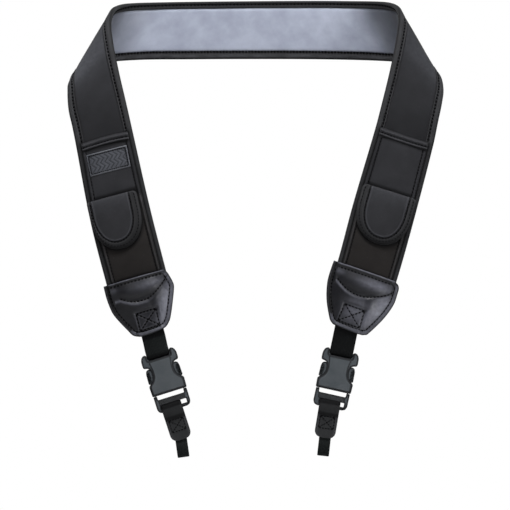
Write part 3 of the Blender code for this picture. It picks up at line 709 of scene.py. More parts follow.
class ShaderGroups:
    """The effects that several finishes share. Each is built once."""

    BLACK, WHITE, LINT = (0, 0, 0, 1), (1, 1, 1, 1), (0.32, 0.32, 0.33, 1)

    def __init__(self) -> None:
        """Builds all the groups."""
        self.knit, self.weave = self.jersey_knit(), self.woven_tape()
        self.grain, self.skin = self.pebbled_grain(), self.moulded_skin()
        # The last group paints shade and highlights into the colour, as well as wear.
        self.tone, self.wear = self.uneven_tone(), self.paint_light_and_wear()

    @staticmethod
    def start(name: str, **inputs: Any) -> tuple[Desk, Any]:
        """Starts a group.

        Args:
            name: the group's name.
            **inputs: its inputs, each with its usual value, or Socket.PLACE.

        Returns:
            The desk, and what the group is given.
        """
        desk = Desk(bpy.data.node_groups.new(name, "ShaderNodeTree"))
        for title, usual in inputs.items():
            kind = usual if usual is Socket.PLACE else Socket.COLOUR if isinstance(usual, tuple) else Socket.NUMBER
            socket = desk.tree.interface.new_socket(title, in_out="INPUT", socket_type=kind.value)
            if usual is not Socket.PLACE:
                socket.default_value = usual
        return desk, desk.tree.nodes.new("NodeGroupInput").outputs

    def jersey_knit(self) -> NodeTree:
        """Fine columns of loops, a little uneven, with a brushed nap over them.

        Returns:
            The group.
        """
        desk, given = self.start("jersey knit", Cloth=Socket.PLACE, Pitch=0.9, Nap=0.5)
        parts = desk.put("SeparateXYZ", {0: given["Cloth"]}).outputs
        wander = desk.noise(given["Cloth"], 0.35, 2)
        sideways = desk.scaled(wander, 0.9, parts["X"])
        column = desk.math("DIVIDE", desk.times(sideways, 2 * math.pi), given["Pitch"])
        row = desk.math("DIVIDE", desk.times(parts["Y"], 2 * math.pi), given["Pitch"])
        leg = desk.math("ABSOLUTE", desk.math("SINE", column))
        slant = desk.math("ADD", row, desk.times(leg, 2.2))
        loops = desk.times(leg, desk.scaled(desk.math("SINE", slant), 0.5, 0.5))
        nap = desk.noise(given["Cloth"], 2.6, 4, 0.7)
        height = desk.scaled(loops, 0.6, desk.times(nap, given["Nap"]))
        patch = desk.noise(given["Cloth"], 0.06, 3)
        shade = desk.scaled(loops, 0.25, desk.scaled(nap, 0.35, patch))
        return desk.give(Height=height, Shade=desk.math("SUBTRACT", shade, 0.25, clamp=True))

    def woven_tape(self) -> NodeTree:
        """Cords along a tape that dive under and over its cross threads, out of step from cord to cord.

        Returns:
            The group.
        """
        desk, given = self.start("woven tape", Cloth=Socket.PLACE, Cord=1.5, Beat=1.6)
        parts = desk.put("SeparateXYZ", {0: given["Cloth"]}).outputs
        cord = desk.math("DIVIDE", parts["X"], given["Cord"])
        beat = desk.math("DIVIDE", parts["Y"], given["Beat"])
        step = desk.times(desk.math("FLOOR", cord), math.pi)
        round_cord = desk.math("ABSOLUTE", desk.math("SINE", desk.times(cord, math.pi)))
        dive = desk.math("SINE", desk.scaled(beat, 2 * math.pi, step))
        height = desk.times(round_cord, desk.scaled(dive, 0.3, 0.7))
        fibre = desk.noise(given["Cloth"], 3, 3, 0.7)
        shade = desk.scaled(fibre, 0.6, desk.scaled(height, 1.1, -0.35))
        return desk.give(Height=desk.scaled(fibre, 0.25, height), Shade=shade)

    def pebbled_grain(self) -> NodeTree:
        """Leather pebbles between fine creases, over soft, wider wrinkles.

        Returns:
            The group.
        """
        desk, given = self.start("pebbled grain", Place=Socket.PLACE, Pebble=900, Wrinkle=90)
        place = given["Place"]
        warp = desk.put("TexNoise", {"Vector": place, "Scale": given["Wrinkle"], "Detail": 2}).outputs
        shift = desk.put("VectorMath", {0: warp["Color"], "Scale": 0.0016}, operation="SCALE").outputs[0]
        bent = desk.put("VectorMath", {0: place, 1: shift}, operation="ADD").outputs[0]
        cells = desk.put("TexVoronoi", {"Vector": bent, "Scale": given["Pebble"]}, feature="SMOOTH_F1")
        pebbles = desk.math("SUBTRACT", 1, cells.outputs["Distance"], clamp=True)
        folds = desk.noise(place, 160, 5, 0.65)
        height = desk.scaled(pebbles, 0.35, folds)
        rub = desk.spread(warp["Fac"], (0.42, 0.68))
        return desk.give(Height=height, Shade=desk.times(pebbles, folds), Rub=rub)

    def uneven_tone(self) -> NodeTree:
        """A colour that drifts between a darker and a lighter tone, with a few pale specks of lint.

        Returns:
            The group.
        """
        desk, given = self.start(
            "uneven tone", Place=Socket.PLACE, Dark=self.BLACK, Light=self.WHITE, Shade=0.5, Lint=0.2
        )
        drift = desk.noise(given["Place"], 22, 4)
        share = desk.scaled(given["Shade"], 0.6, desk.scaled(drift, 0.9, -0.3))
        base = desk.blend(desk.math("ADD", share, 0, clamp=True), given["Dark"], given["Light"])
        speck = desk.math("GREATER_THAN", desk.noise(given["Place"], 900, 1), 0.765)
        return desk.give(Colour=desk.blend(desk.times(speck, given["Lint"]), base, self.LINT))

    def paint_light_and_wear(self) -> NodeTree:
        """Paints shade darker and paints highlights and wear lighter, by the mesh's amounts of painted shade, wear
        and painted highlight.

        Returns:
            The group.
        """
        desk, given = self.start(
            "painted light and wear", Marks=Socket.PLACE, Place=Socket.PLACE, Colour=self.BLACK, Deep=self.BLACK,
            Rubbed=self.WHITE,
        )
        light_and_wear_marks = desk.put("SeparateXYZ", {0: given["Marks"]}).outputs
        patchy = desk.scaled(desk.noise(given["Place"], 300, 4), 0.9, 0.3)
        wear_and_highlight = desk.times(light_and_wear_marks["Y"], patchy, clamp=True)
        lighter = desk.blend(wear_and_highlight, given["Colour"], given["Rubbed"])
        return desk.give(Colour=desk.blend(desk.math("ADD", light_and_wear_marks["X"], 0, clamp=True), lighter, given["Deep"]))

    def moulded_skin(self) -> NodeTree:
        """The fine spark-eroded skin of a moulded buckle, with faint flow and handling marks.

        Returns:
            The group.
        """
        desk, given = self.start("moulded skin", Place=Socket.PLACE, Fine=2600)
        fine = desk.put("TexNoise", {"Vector": given["Place"], "Scale": given["Fine"], "Detail": 2})
        rub = desk.spread(desk.noise(given["Place"], 70, 4, 0.6), (0.35, 0.7))
        return desk.give(Height=fine.outputs["Fac"], Rub=rub)


# ---- Finishes ----
class Pattern(Enum):
    """What gives a cloth its surface, by the names of its two measures."""

    KNIT = ("Pitch", "Nap")
    WEAVE = ("Cord", "Beat")


@dataclass(frozen=True)
class SurfaceFinish:
    """What all finishes have: a slot name, their tones, how they take light, and the colours of their painted
    shade and of their wear and painted highlights.
    """

    name: str
    slot: str
    dark: Triple
    light: Triple
    roughness: float = 0.8
    gloss_range: Pair = (0.06, 0.08)
    specular: float = 0.15
    relief: float = 0.06
    bump: float = 0.5
    lint: float = 0.08
    # The next two colours paint shade, and wear with highlights.
    painted_shade: Triple = (0.0015, 0.0015, 0.0018)
    wear_and_highlight: Triple = (0.075, 0.075, 0.08)

    def surface(self, desk: Desk, groups: ShaderGroups, solid: Any) -> tuple[Any, Any, Any]:
        """The height, the shade and the wear of the surface."""
        raise NotImplementedError

    def light_inputs(self, desk: Desk, rough: Any) -> dict[str, Any]:
        """The shader's inputs for its gloss, which is duller where the painted shade is."""
        light_and_wear_marks = desk.put("SeparateXYZ", {0: desk.put("UVMap", uv_map="light_and_wear_marks").outputs[0]}).outputs
        return {"Roughness": desk.scaled(light_and_wear_marks["X"], 0.45, rough, clamp=True)}

    def material(self, groups: ShaderGroups) -> Material:
        """Builds the material.

        Args:
            groups: the shared effects.

        Returns:
            The material.
        """
        material = bpy.data.materials.new(self.name)
        material.use_nodes = True
        desk = Desk(material.node_tree)
        solid = desk.put("TexCoord").outputs["Object"]
        height, shade, wear = self.surface(desk, groups, solid)
        inputs = {"Dark": (*self.dark, 1), "Light": (*self.light, 1), "Shade": shade, "Lint": self.lint}
        tone = desk.put("Group", {"Place": solid, **inputs}, node_tree=groups.tone)
        # Paints shade and highlights into the colour, as well as wear.
        inputs = {"Colour": tone.outputs[0], "Deep": (*self.painted_shade, 1), "Rubbed": (*self.wear_and_highlight, 1)}
        light_and_wear_marks = desk.put("UVMap", uv_map="light_and_wear_marks").outputs[0]
        lit_and_worn = desk.put("Group", {"Marks": light_and_wear_marks, "Place": solid, **inputs}, node_tree=groups.wear)
        bump = desk.put("Bump", {"Height": height, "Strength": self.bump, "Distance": self.relief * MM})
        low, high = self.gloss_range
        rough = desk.spread(wear, made=(self.roughness - low, min(self.roughness + high, 1)))
        shader = desk.put("BsdfPrincipled", {
            "Base Color": lit_and_worn.outputs[0], "Normal": bump.outputs[0], "Specular IOR Level": self.specular,
            **self.light_inputs(desk, rough),
        })
        desk.put("OutputMaterial", {"Surface": shader.outputs[0]})
        return material


@dataclass(frozen=True)
class ClothFinish(SurfaceFinish):
    """A fabric, with its knit or weave and the sheen of its fibres."""

    pattern: Pattern = Pattern.KNIT
    pitch: Pair = (0.9, 0.5)
    sheen: float = 0.06
    sheen_roughness: float = 0.45

    def surface(self, desk: Desk, groups: ShaderGroups, solid: Any) -> tuple[Any, Any, Any]:
        """The height, the shade and the wear of the knit or the weave.

        Args:
            desk: the material's desk.
            groups: the shared effects.
            solid: the places of the surface, which cloth doesn't need.

        Returns:
            The three outputs.
        """
        cloth = desk.put("UVMap", uv_map="cloth").outputs[0]
        group = groups.knit if self.pattern is Pattern.KNIT else groups.weave
        inputs = {"Cloth": cloth, **dict(zip(self.pattern.value, self.pitch))}
        made = desk.put("Group", inputs, node_tree=group).outputs
        return made["Height"], made["Shade"], made["Shade"]

    def light_inputs(self, desk: Desk, rough: Any) -> dict[str, Any]:
        """The shader's inputs for its gloss and its sheen."""
        return {"Roughness": rough, "Sheen Weight": self.sheen, "Sheen Roughness": self.sheen_roughness}


@dataclass(frozen=True)
class LeatherFinish(SurfaceFinish):
    """Coated leather with a half gloss."""

    roughness: float = 0.42
    gloss_range: Pair = (0.05, 0.12)
    specular: float = 0.38
    relief: float = 0.09
    bump: float = 0.55
    lint: float = 0.1
    # The darker colour paints the leather's shade; the lighter, lavender one paints its highlights, with its wear.
    painted_shade: Triple = (0.0015, 0.0015, 0.002)
    wear_and_highlight: Triple = (0.225, 0.228, 0.272)

    def surface(self, desk: Desk, groups: ShaderGroups, solid: Any) -> tuple[Any, Any, Any]:
        """The height, the shade and the wear of the grain."""
        made = desk.put("Group", {"Place": solid}, node_tree=groups.grain).outputs
        return made["Height"], made["Shade"], made["Rub"]


@dataclass(frozen=True)
class PlasticFinish(SurfaceFinish):
    """Moulded buckle plastic with a fine matt skin."""

    roughness: float = 0.46
    specular: float = 0.35
    relief: float = 0.03
    bump: float = 0.3
    lint: float = 0.05
    # The darker colour paints shade at the rims; the lighter one paints the left socket lighter, as light.
    painted_shade: Triple = (0.006, 0.006, 0.007)
    wear_and_highlight: Triple = (0.12, 0.13, 0.135)

    def surface(self, desk: Desk, groups: ShaderGroups, solid: Any) -> tuple[Any, Any, Any]:
        """The height, the shade and the wear of the skin."""
        made = desk.put("Group", {"Place": solid}, node_tree=groups.skin).outputs
        return made["Height"], made["Rub"], made["Rub"]


class Finish(Enum):
    """The finishes of the strap."""

    # Its lighter colour paints the highlight on the crest and on the pocket's ridges, with some wear.
    NEOPRENE = ClothFinish(
        "black_jersey", "neoprene", (0.0135, 0.0135, 0.015), (0.034, 0.034, 0.0375), wear_and_highlight=(0.12, 0.123, 0.137),
        relief=0.09,
    )
    PANEL = ClothFinish(
        "stretch_jersey", "neoprene", (0.0135, 0.0135, 0.015), (0.033, 0.033, 0.0365), pitch=(0.7, 0.4)
    )
    # The pouch's jersey: darker and warmer than the panel's.
    POUCH = ClothFinish(
        "darker_warm_jersey", "neoprene", (0.0085, 0.0074, 0.0068), (0.0235, 0.0205, 0.019), pitch=(0.7, 0.4)
    )
    LINING = ClothFinish(
        "satin_lining", "lining", (0.2, 0.219, 0.279), (0.485, 0.515, 0.605), roughness=0.5, specular=0.35,
        sheen=0.12, pitch=(0.6, 0.35), relief=0.03, lint=0,
    )
    BINDING = ClothFinish(
        "folded_tape", "binding", (0.017, 0.017, 0.018), (0.034, 0.034, 0.035), pitch=(0.8, 0.4), sheen=0.08,
        relief=0.05,
    )
    WEBBING = ClothFinish(
        "webbing_cords", "webbing", (0.001, 0.0015, 0.0015), (0.019, 0.022, 0.0215), pattern=Pattern.WEAVE,
        pitch=(1.47, 1.7), roughness=0.75, specular=0.08, sheen=0.02, relief=0.25, lint=0.1,
    )
    TAB = ClothFinish(
        "rubbed_tab_cloth", "tab_fabric", (0.017, 0.0175, 0.018), (0.043, 0.044, 0.045), pitch=(0.6, 0.3),
        roughness=0.7, specular=0.12, sheen=0.02, relief=0.05,
    )
    LABEL = ClothFinish(
        "woven_patch", "label_fabric", (0.034, 0.036, 0.043), (0.075, 0.08, 0.094), pattern=Pattern.WEAVE,
        pitch=(0.5, 0.9), roughness=0.55, specular=0.35, sheen=0.1, relief=0.08, lint=0.05,
        wear_and_highlight=(0.17, 0.175, 0.19),
    )
    THREAD = ClothFinish(
        "sewing_thread", "", (0.001, 0.001, 0.0013), (0.0025, 0.0025, 0.003), roughness=0.7, specular=0.05,
        sheen=0, pitch=(0.4, 0.2), relief=0.03, lint=0,
    )
    LEATHER = LeatherFinish("half_gloss_leather", "leatherette", (0.005, 0.005, 0.006), (0.013, 0.013, 0.017))
    PLASTIC = PlasticFinish("moulded_buckle", "buckle_plastic", (0.056, 0.065, 0.072), (0.087, 0.096, 0.103))
    KNURL = PlasticFinish(
        "dark_ribbed_bar", "buckle_plastic", (0.026, 0.027, 0.028), (0.044, 0.046, 0.048), roughness=0.5
    )


class Bench:
    """Where the finishes are kept and the finished pieces are gathered."""

    def __init__(self) -> None:
        """Builds a material for each finish."""
        groups = ShaderGroups()
        self.materials = {finish: finish.value.material(groups) for finish in Finish}
        self.collection = bpy.data.collections.new("camera_neck_strap")
        bpy.context.scene.collection.children.link(self.collection)
        self.made: list[Object] = []


@dataclass
class Part:
    """A sub-assembly of the strap."""

    bench: Bench

    @property
    def side(self) -> str:
        """What the names of its pieces and of its solids start with."""
        return ""

    def finish(
        self, name: str, shape: Shape, finish: Finish, node: str = "", slot: str = "", sharp: float = 40.0
    ) -> Object:
        """Makes a piece from a shape.

        Args:
            name: the piece's name, without its side.
            shape: its points and faces.
            finish: its finish.
            node: the solid it stands for, without its side.
            slot: a slot name, where it isn't the finish's own; the piece is not given it.
            sharp: the angle of its sharp edges, in degrees.

        Returns:
            The piece.
        """
        name = self.side + name
        piece = bpy.data.objects.new(name, shape.mesh(name, sharp))
        self.bench.collection.objects.link(piece)
        piece.data.materials.append(self.bench.materials[finish])
        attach(piece, "root")
        if node:
            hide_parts(self.side + node)
        slot or finish.value.slot
        self.bench.made.append(piece)
        LOG.info("%s: %d faces", name, len(piece.data.polygons))
        return piece

    def finish_stitches(self, name: str, shape: Shape, slot: str) -> None:
        """Makes a piece of the stitches that are sewn through what has this slot."""
        self.finish(name, shape, Finish.THREAD, slot=slot, sharp=60)


@dataclass
class ArmPart(Part):
    """A sub-assembly on one arm of the strap."""

    arm: Arm

    @property
    def side(self) -> str:
        """What the names of its pieces and of its solids start with."""
        return f"{self.arm.name}_"


# ---- Neck strip: pad, lining and edge bindings ----
@dataclass
class NeckStrip(Part):
    """The padded strip with its lining and the folded tape round its edges."""

    inside_cap: float = 14.0
    pad_rows: int = 520
    pad_columns: int = 33
    tape_rows: int = 560
    thread: Thread = Thread(radius=0.95, stitch=2.3, gap=1.3)
    lining_thread: Thread = Thread(radius=1.0, stitch=2.4, gap=0.8)

    # The tape's face by its distance in from the edge: over the outer face and over the lining.
    OUTER_TAPE = ((0, 0), (0.25, 1.1), (0.9, 2), (1.9, 2.6), (3.4, 2.8), (4.7, 2.6), (5.4, 1.9), (6.2, 1.4),
                  (6.9, 1.8), (7.4, 2.5), (8, 2.65), (8.5, 2.3), (8.8, 1.6))
    LINING_TAPE = {
        1: ((0, 0), (0.25, -1.2), (0.8, -2.1), (1.5, -2.5), (2.2, -2.3), (2.9, -1.9), (3.6, -2.3), (4.8, -2.9),
              (5.9, -3), (6.6, -2.6), (7, -1.75)),
        -1: ((0, 0), (0.25, -1.1), (0.9, -2), (2, -2.7), (4.2, -3.05), (6, -2.85), (7.1, -2.3),
               (8, -1.9), (8.5, -1.75)),
    }
    TAPE_INSIDE = ((6.9, -1.55), (4, -1.5), (1.2, -1.3), (1, 0), (1.2, 1.3), (4.5, 1.4), (8.4, 1.5))
    OUTER_GROOVE, LINING_GROOVE = 6.2, {1: 2.8, -1: 7.9}

    def stations(self, inside: float, rows: int) -> Array:
        """Stations from one end cap to the other, reaching this far into both."""
        return np.linspace(STRIP.stations[LEFT_CAP_ROW] - inside, STRIP.stations[RIGHT_CAP_ROW] + inside, rows)

    def build(self) -> None:
        """Builds the strip's pieces."""
        self.build_pad()
        self.build_lining()
        for name, sign in (("inner_edge_binding", 1), ("outer_edge_binding", -1)):
            self.build_binding(name, sign)

    def build_pad(self) -> None:
        """The foam strip in its knitted face, swelling a little between the tapes."""
        station, share = plan(self.stations(self.inside_cap, self.pad_rows), close_columns(self.pad_columns))
        rim = 1.4
        half = STRIP.width(station) / 2 - rim
        across = share * half
        edge = half + rim - np.abs(across)
        top = eased(((0, 1.2), (4, 1.35), (7.6, 1.7), (10.5, 2.3), (30, 2.55)), edge)
        top += 0.1 * ripple(across, station, 46) + 0.05 * ripple(across, station, 17, 2)
        shape = Shape()
        # Painted highlight on the crest, where the strip turns over towards the light above.
        crest = eased(((185, 0), (198, 0.8), (210, 0.75), (223, 0.2), (240, 0)), np.abs(station))
        crest *= np.where(station < 0, 0.68, 0.4) * (1 - 0.4 * share)
        # Painted shade: darker down the arms, away from the light above, and along the tapes' inner groove.
        low = eased(((185, 0), (215, 0.1), (245, 0.15), (285, 0.4)), np.abs(station))
        painted_shade = np.maximum(0.8 * bell(edge, 8.3, 0.8), low + 0.1 * (station > 190))
        slab(shape, STRIP.place(station, across, top), STRIP.place(station, across, -1.55),
             paired(across, station), paired(painted_shade, crest))
        self.finish("padded_neck_strip", shape, Finish.NEOPRENE, "neck_pad")

    def build_lining(self) -> None:
        """The satin face towards the neck, drawn down along both tapes."""
        station, share = plan(self.stations(8, self.pad_rows), close_columns(self.pad_columns))
        half = STRIP.width(station) / 2 - 6.7 - 1.4 * (share < 0)
        across = share * half
        edge = half - np.abs(across)
        face = eased(((0, -1.95), (1.2, -2.45), (3.6, -2.85), (9, -2.95), (30, -3)), edge)
        face -= 0.12 * ripple(across, station, 60, 0.7) + 0.06 * ripple(across, station, 23, 1.9)
        face -= 0.05 * np.sin(station * 2 * math.pi / 14 + ripple(across, station, 40) * 2) * np.exp(-edge / 5)
        # Painted shade where the lining turns away from the light towards both ends, and in the seams along its
        # edges.
        turned = eased(((-205, 0.05), (-172, 0.65), (-150, 0.5), (-130, 0.35), (-100, 0.03), (95, 0.03),
                        (110, 0.16), (122, 0.5), (132, 0.72), (144, 0.8), (158, 0.82), (180, 0.8),
                        (205, 0.05)), station)
        seam = bell(edge, 0, 1.2) * (share < 0) + 0.45 * bell(edge, 0, 0.6) * (share > 0)
        shape = Shape()
        slab(shape, STRIP.place(station, across, -1.6), STRIP.place(station, across, face),
             paired(across, station), paired(np.maximum(turned, seam)))
        lining = self.finish("satin_neck_lining", shape, Finish.LINING, "pad_lining")

    def tape_profile(self, sign: float) -> Array:
        """The tape's section all round its wall, as (distance in from the edge, height) points."""
        outer, under = curve_through(self.OUTER_TAPE[::-1], 22), curve_through(self.LINING_TAPE[sign][1:], 18)
        return np.concatenate([outer, under, self.TAPE_INSIDE])

    def build_binding(self, name: str, sign: float) -> None:
        """One edge's folded tape, with its rows of stitches.

        Args:
            name: the edge's solid.
            sign: 1 for the inner edge and -1 for the outer one.
        """
        profile = self.tape_profile(sign)
        station, column = plan(self.stations(10, self.tape_rows), np.arange(len(profile)))
        inwards, height = profile[column, 0], profile[column, 1]
        swell = 0.1 * ripple(inwards * 3, station, 31, sign) * np.clip(inwards / 2, 0, 1)
        across = sign * (STRIP.width(station) / 2 - inwards)
        rings = STRIP.place(station, across, height + swell * np.sign(height))
        run = run_along(profile)
        # Painted shade in the tape's grooves and at its edges, over the outer face and over the lining.
        outer = 0.55 * bell(inwards, self.OUTER_GROOVE, 0.9) + 0.9 * bell(inwards, 9, 0.8)
        outer += 0.7 * bell(inwards, 0, 0.6)
        under = bell(inwards, self.LINING_GROOVE[sign], 1.2 if sign < 0 else 0.8)
        under += bell(inwards, 0.4, 1.5) if sign < 0 else 0.3
        # Painted highlights on the tape's ridges, strongest over the crest; over the pockets, more painted shade
        # and fewer highlights; the outer tape lighter on its lining side.
        crest = eased(((186, 1), (198, 2.2), (212, 2), (232, 1)), np.abs(station))
        lines = bell(inwards, 2.6, 1.2) * 0.25 + bell(inwards, 4.5, 0.5) * 0.4 + bell(inwards, 7.7, 0.4) * 0.5
        pocket = eased(((286, 0), (291, 1)), np.abs(station))
        outer = np.maximum(outer, pocket * (0.3 + 0.7 * bell(inwards, 4.9, 1.4)))
        lines = lines * (1 - pocket) + pocket * 0.3 * bell(inwards, 2.4, 1)
        wear_and_highlight = np.where(height > 0, lines * crest, bell(inwards, 3.6, 1.8) * (0.9 if sign < 0 else 0))
        wear_and_highlight = wear_and_highlight * (0.6 + 0.4 * ripple(station, inwards, 13))
        shape = Shape()
        loft(shape, rings, paired(run[column], station), paired(np.where(height > 0, outer, under), wear_and_highlight))
        self.finish(name.replace("edge_binding", "edge_tape"), shape, Finish.BINDING, name)
        self.build_stitches(name, sign)

    def build_stitches(self, name: str, sign: float) -> None:
        """The stitches through one tape, on its outer face above the pockets and all along the lining.

        Args:
            name: the edge's solid.
            sign: 1 for the inner edge and -1 for the outer one.
        """
        shape = Shape()
        station = self.stations(2, int((STRIP.stations[RIGHT_CAP_ROW] - STRIP.stations[LEFT_CAP_ROW]) / 1.5))
        under = (-2.45, self.lining_thread) if sign < 0 else (-2.1, self.thread)
        for inwards, height, thread, face in (
            (self.OUTER_GROOVE, 1.55, self.thread, 1), (self.LINING_GROOVE[sign], *under, -1)
        ):
            across = sign * (STRIP.width(station) / 2 - inwards)
            path = STRIP.place(station, across, height)
            thread.sew(shape, path, STRIP.place(station, across, height + face) - path)
        self.finish_stitches(name.replace("binding", "stitches"), shape, "binding")


# ---- Pocket on each arm ----
@dataclass
class Pocket(ArmPart):
    """The stretch pocket, its hem and its flap on one arm; its pieces lie by their distance above the end cap."""

    hem_top: float = 143.8
    hem_foot: float = 135.7
    hem_stitch: float = 3.1
    hem_bow: float = 0.9
    panel_foot: float = 80.0
    bag_top: float = 79.7
    bag_foot: float = -3.0
    flap_top: float = 84.8
    flap_round: float = 35.0
    flap_seam_round: float = 28.0
    label_top: float = 131.0
    label_foot: float = 109.0
    label_span: Pair = (-21.2, 20.4)
    floor: float = 2.3
    edge_in: float = 4.9
    rib_in: float = 6.9
    valley_in: float = 9.0
    thread: Thread = Thread(radius=0.5, stitch=2.2, gap=1.0)

    # The height of the pocket cloth along its side folds and between them.
    panel_rib: Knots = ((80.0, 4.6), (96.0, 4.3), (122.0, 3.9), (137.0, 3.4))
    panel_crown: Knots = ((80.0, 3.9), (92.0, 4.5), (112.0, 4.1), (128.0, 4.0), (137.0, 3.3))
    bag_rib: Knots = ((-3.0, 2.9), (2.0, 3.7), (14.0, 4.7), (30.0, 5.2), (60.0, 5.4), (76.0, 5.3), (79.7, 4.6))
    bag_crown: Knots = ((-3.0, 2.6), (2.0, 3.5), (14.0, 4.6), (34.0, 5.7), (60.0, 6.1), (78.0, 5.2))

    def build(self) -> None:
        """Builds the pocket's pieces."""
        self.build_hem()
        self.build_panel()
        self.build_bag()
        self.build_stitches()
        self.build_flap()
        self.build_flap_band()
        if self.arm is LEFT:
            self.build_label()

    def half(self, distance: Array) -> Array:
        """Half the strip's width at each distance above the cap."""
        return STRIP.width(self.arm.station(distance)) / 2

    def slab_on(self, distance: Array, across: Array, top: Array, floor: Array | float, light_and_wear_marks: Array) -> Shape:
        """A slab laid on this arm.

        Args:
            distance, across: the places, up from the end cap and across the arm.
            top: the height of its face.
            floor: the height of its underside.
            light_and_wear_marks: its marks.

        Returns:
            Its shape.
        """
        shape, lay = Shape(), self.arm.lay
        slab(shape, lay(distance, across, top), lay(distance, across, floor), paired(across, distance), light_and_wear_marks)
        return shape

    def side_fold(self, distance: Array, across: Array) -> Array:
        """How much painted shade each place of the pocket cloth gets in the fold along its sides."""
        inwards = self.half(distance) - np.abs(across)
        return np.maximum(0.75 * bell(inwards, self.valley_in - 0.3, 0.8), 0.9 * bell(inwards, self.edge_in, 0.8))

    def build_hem(self) -> None:
        """The rolled hem across the top of the pocket: two rolls with the row of stitches between them."""
        distance, share = plan(np.linspace(self.hem_foot, self.hem_top, 26), close_columns(48))
        half = self.half(distance)
        across = share * (half - self.edge_in)
        above = distance - self.hem_foot
        height = eased(((0, 3), (0.5, 4.1), (1.6, 4.75), (2.9, 4.05), (3.5, 4.1), (5.4, 5.35), (7.2, 4.6),
                        (7.9, 3.2), (8.1, 2.6)), above)
        drop = eased(((0, -2.2), (0.8, -0.9), (2.4, 0), (30, 0)), half - self.edge_in - np.abs(across))
        top = np.maximum(height + drop + 0.12 * ripple(across, distance, 19, self.arm.way), 2.3)
        bow = self.hem_bow * (1 - share**2) * -self.arm.way + 0.35 * ripple(across, distance * 0, 38, 1)
        # Painted shade in the stitch groove and along both edges of the hem, and painted highlights on its two
        # rolls.
        painted_shade = np.maximum(0.9 * bell(above, self.hem_stitch, 0.5), 0.9 * bell(above, 0, 0.7))
        painted_shade = np.maximum(painted_shade, 0.6 * bell(above, 8.2, 0.8))
        wear_and_highlight = 0.7 * bell(above, 1.6, 0.6) + 0.4 * bell(above, 5.6, 1.2)
        shape = self.slab_on(distance + bow, across, top, 2.15, paired(painted_shade, wear_and_highlight))
        self.finish("rolled_hem", shape, Finish.PANEL, "pocket_hem", sharp=60)

    def build_stitches(self) -> None:
        """The rows of stitches in the hem and down the folds along the pocket's sides."""
        share = np.linspace(-1, 1, 60)
        hem = np.stack([np.full(60, self.hem_foot + self.hem_stitch), share], axis=1)
        hem[:, 1] *= self.half(hem[:, 0]) - self.edge_in - 1.2
        hem[:, 0] += self.hem_bow * (1 - share**2) * self.arm.way * -1
        shape = Shape()
        sew_on(self.arm, hem, 4.05, shape, self.thread)
        for low, high, rib, crown in (
            (self.flap_top + 1.5, self.hem_foot - 1, self.panel_rib, self.panel_crown),
            (1.5, 55, self.bag_rib, self.bag_crown),
        ):
            distance = np.linspace(low, high, 60)
            level = np.maximum(np.minimum(eased(rib, distance), eased(crown, distance)) - 0.8, 2.8)
            for side in (-1, 1):
                fold = paired(distance, side * (self.half(distance) - self.valley_in + 0.3))
                sew_on(self.arm, fold, level, shape, self.thread)
        self.finish_stitches("pocket_stitches", shape, "neoprene")

    def cloth_height(self, distance: Array, across: Array, rib: Knots, crown: Knots) -> Array:
        """The pocket cloth's face: a fold along each side and a swell between them.

        Args:
            distance, across: the places, up from the end cap and across the arm.
            rib: the height of the side folds, by the distance above the end cap.
            crown: the height between them.

        Returns:
            The heights.
        """
        inwards = self.half(distance) - np.abs(across)
        rib, crown = eased(rib, distance), eased(crown, distance)
        valley = np.minimum(rib, crown) - 0.95
        edge, rib_in = self.edge_in, self.rib_in
        side = eased(((edge, 0), (edge + 0.5, 0.62), (rib_in, 1), (self.valley_in, 0)), inwards)
        low = np.where(inwards < self.rib_in, 2.4, valley)
        height = low + (rib - low) * side
        middle = np.clip((inwards - self.valley_in) / (self.half(distance) - self.valley_in), 0, 1)
        swell = 1 - (1 - middle) ** 2.6
        return np.where(inwards > self.valley_in, valley + (crown - valley) * swell, height)

    def cloth_plan(self, rows: Array) -> tuple[Array, Array]:
        """A plan of the pocket cloth with enough columns over its side folds.

        Args:
            rows: its rows' distances above the end cap.

        Returns:
            The distances above the end cap and across the arm.
        """
        inner = np.linspace(0, 0.66, 16)
        shares = np.concatenate([inner, np.linspace(0.69, 1, 21)])
        shares = np.concatenate([-shares[:0:-1], shares])
        distance, share = plan(rows, shares)
        return distance, share * (self.half(distance) - self.edge_in)

    def build_panel(self) -> None:
        """The cloth between the hem and the flap."""
        rows = np.concatenate([np.linspace(self.panel_foot, 87, 6), np.linspace(89, self.hem_foot + 1.6, 34)])
        distance, across = self.cloth_plan(rows)
        top = self.cloth_height(distance, across, self.panel_rib, self.panel_crown)
        top += 0.14 * ripple(across, distance, 26, 1.1 * self.arm.way)
        top += 0.12 * (bell(distance, 88, 6) * np.sin(across * 0.42 + 0.6 * self.arm.way))
        # Painted shadows under the flap and under the hem, and painted shade in the side folds.
        between = self.half(distance) - np.abs(across) > self.valley_in - 1
        under_flap = 0.95 * between * eased(((84, 1), (86.2, 0.9), (89.5, 0)), distance)
        under_hem = eased(((131.5, 0), (135, 0.8), (137, 1)), distance)
        painted_shade = np.maximum(self.side_fold(distance, across), np.maximum(under_flap, under_hem))
        shape = self.slab_on(distance, across, np.maximum(top, 2.7), self.floor, paired(painted_shade))
        self.declare_sheet(self.finish("stretch_panel", shape, Finish.PANEL, "pocket_panel"), distance, across)

    def declare_sheet(self, piece: Object, distance: Array, across: Array) -> None:
        """Takes a stretched sheet of cloth with its plan, and does nothing with them.

        Args:
            piece: the piece; not used.
            distance: its plan's distances above the end cap; not used.
            across: its plan's distances across the arm; not used.
        """

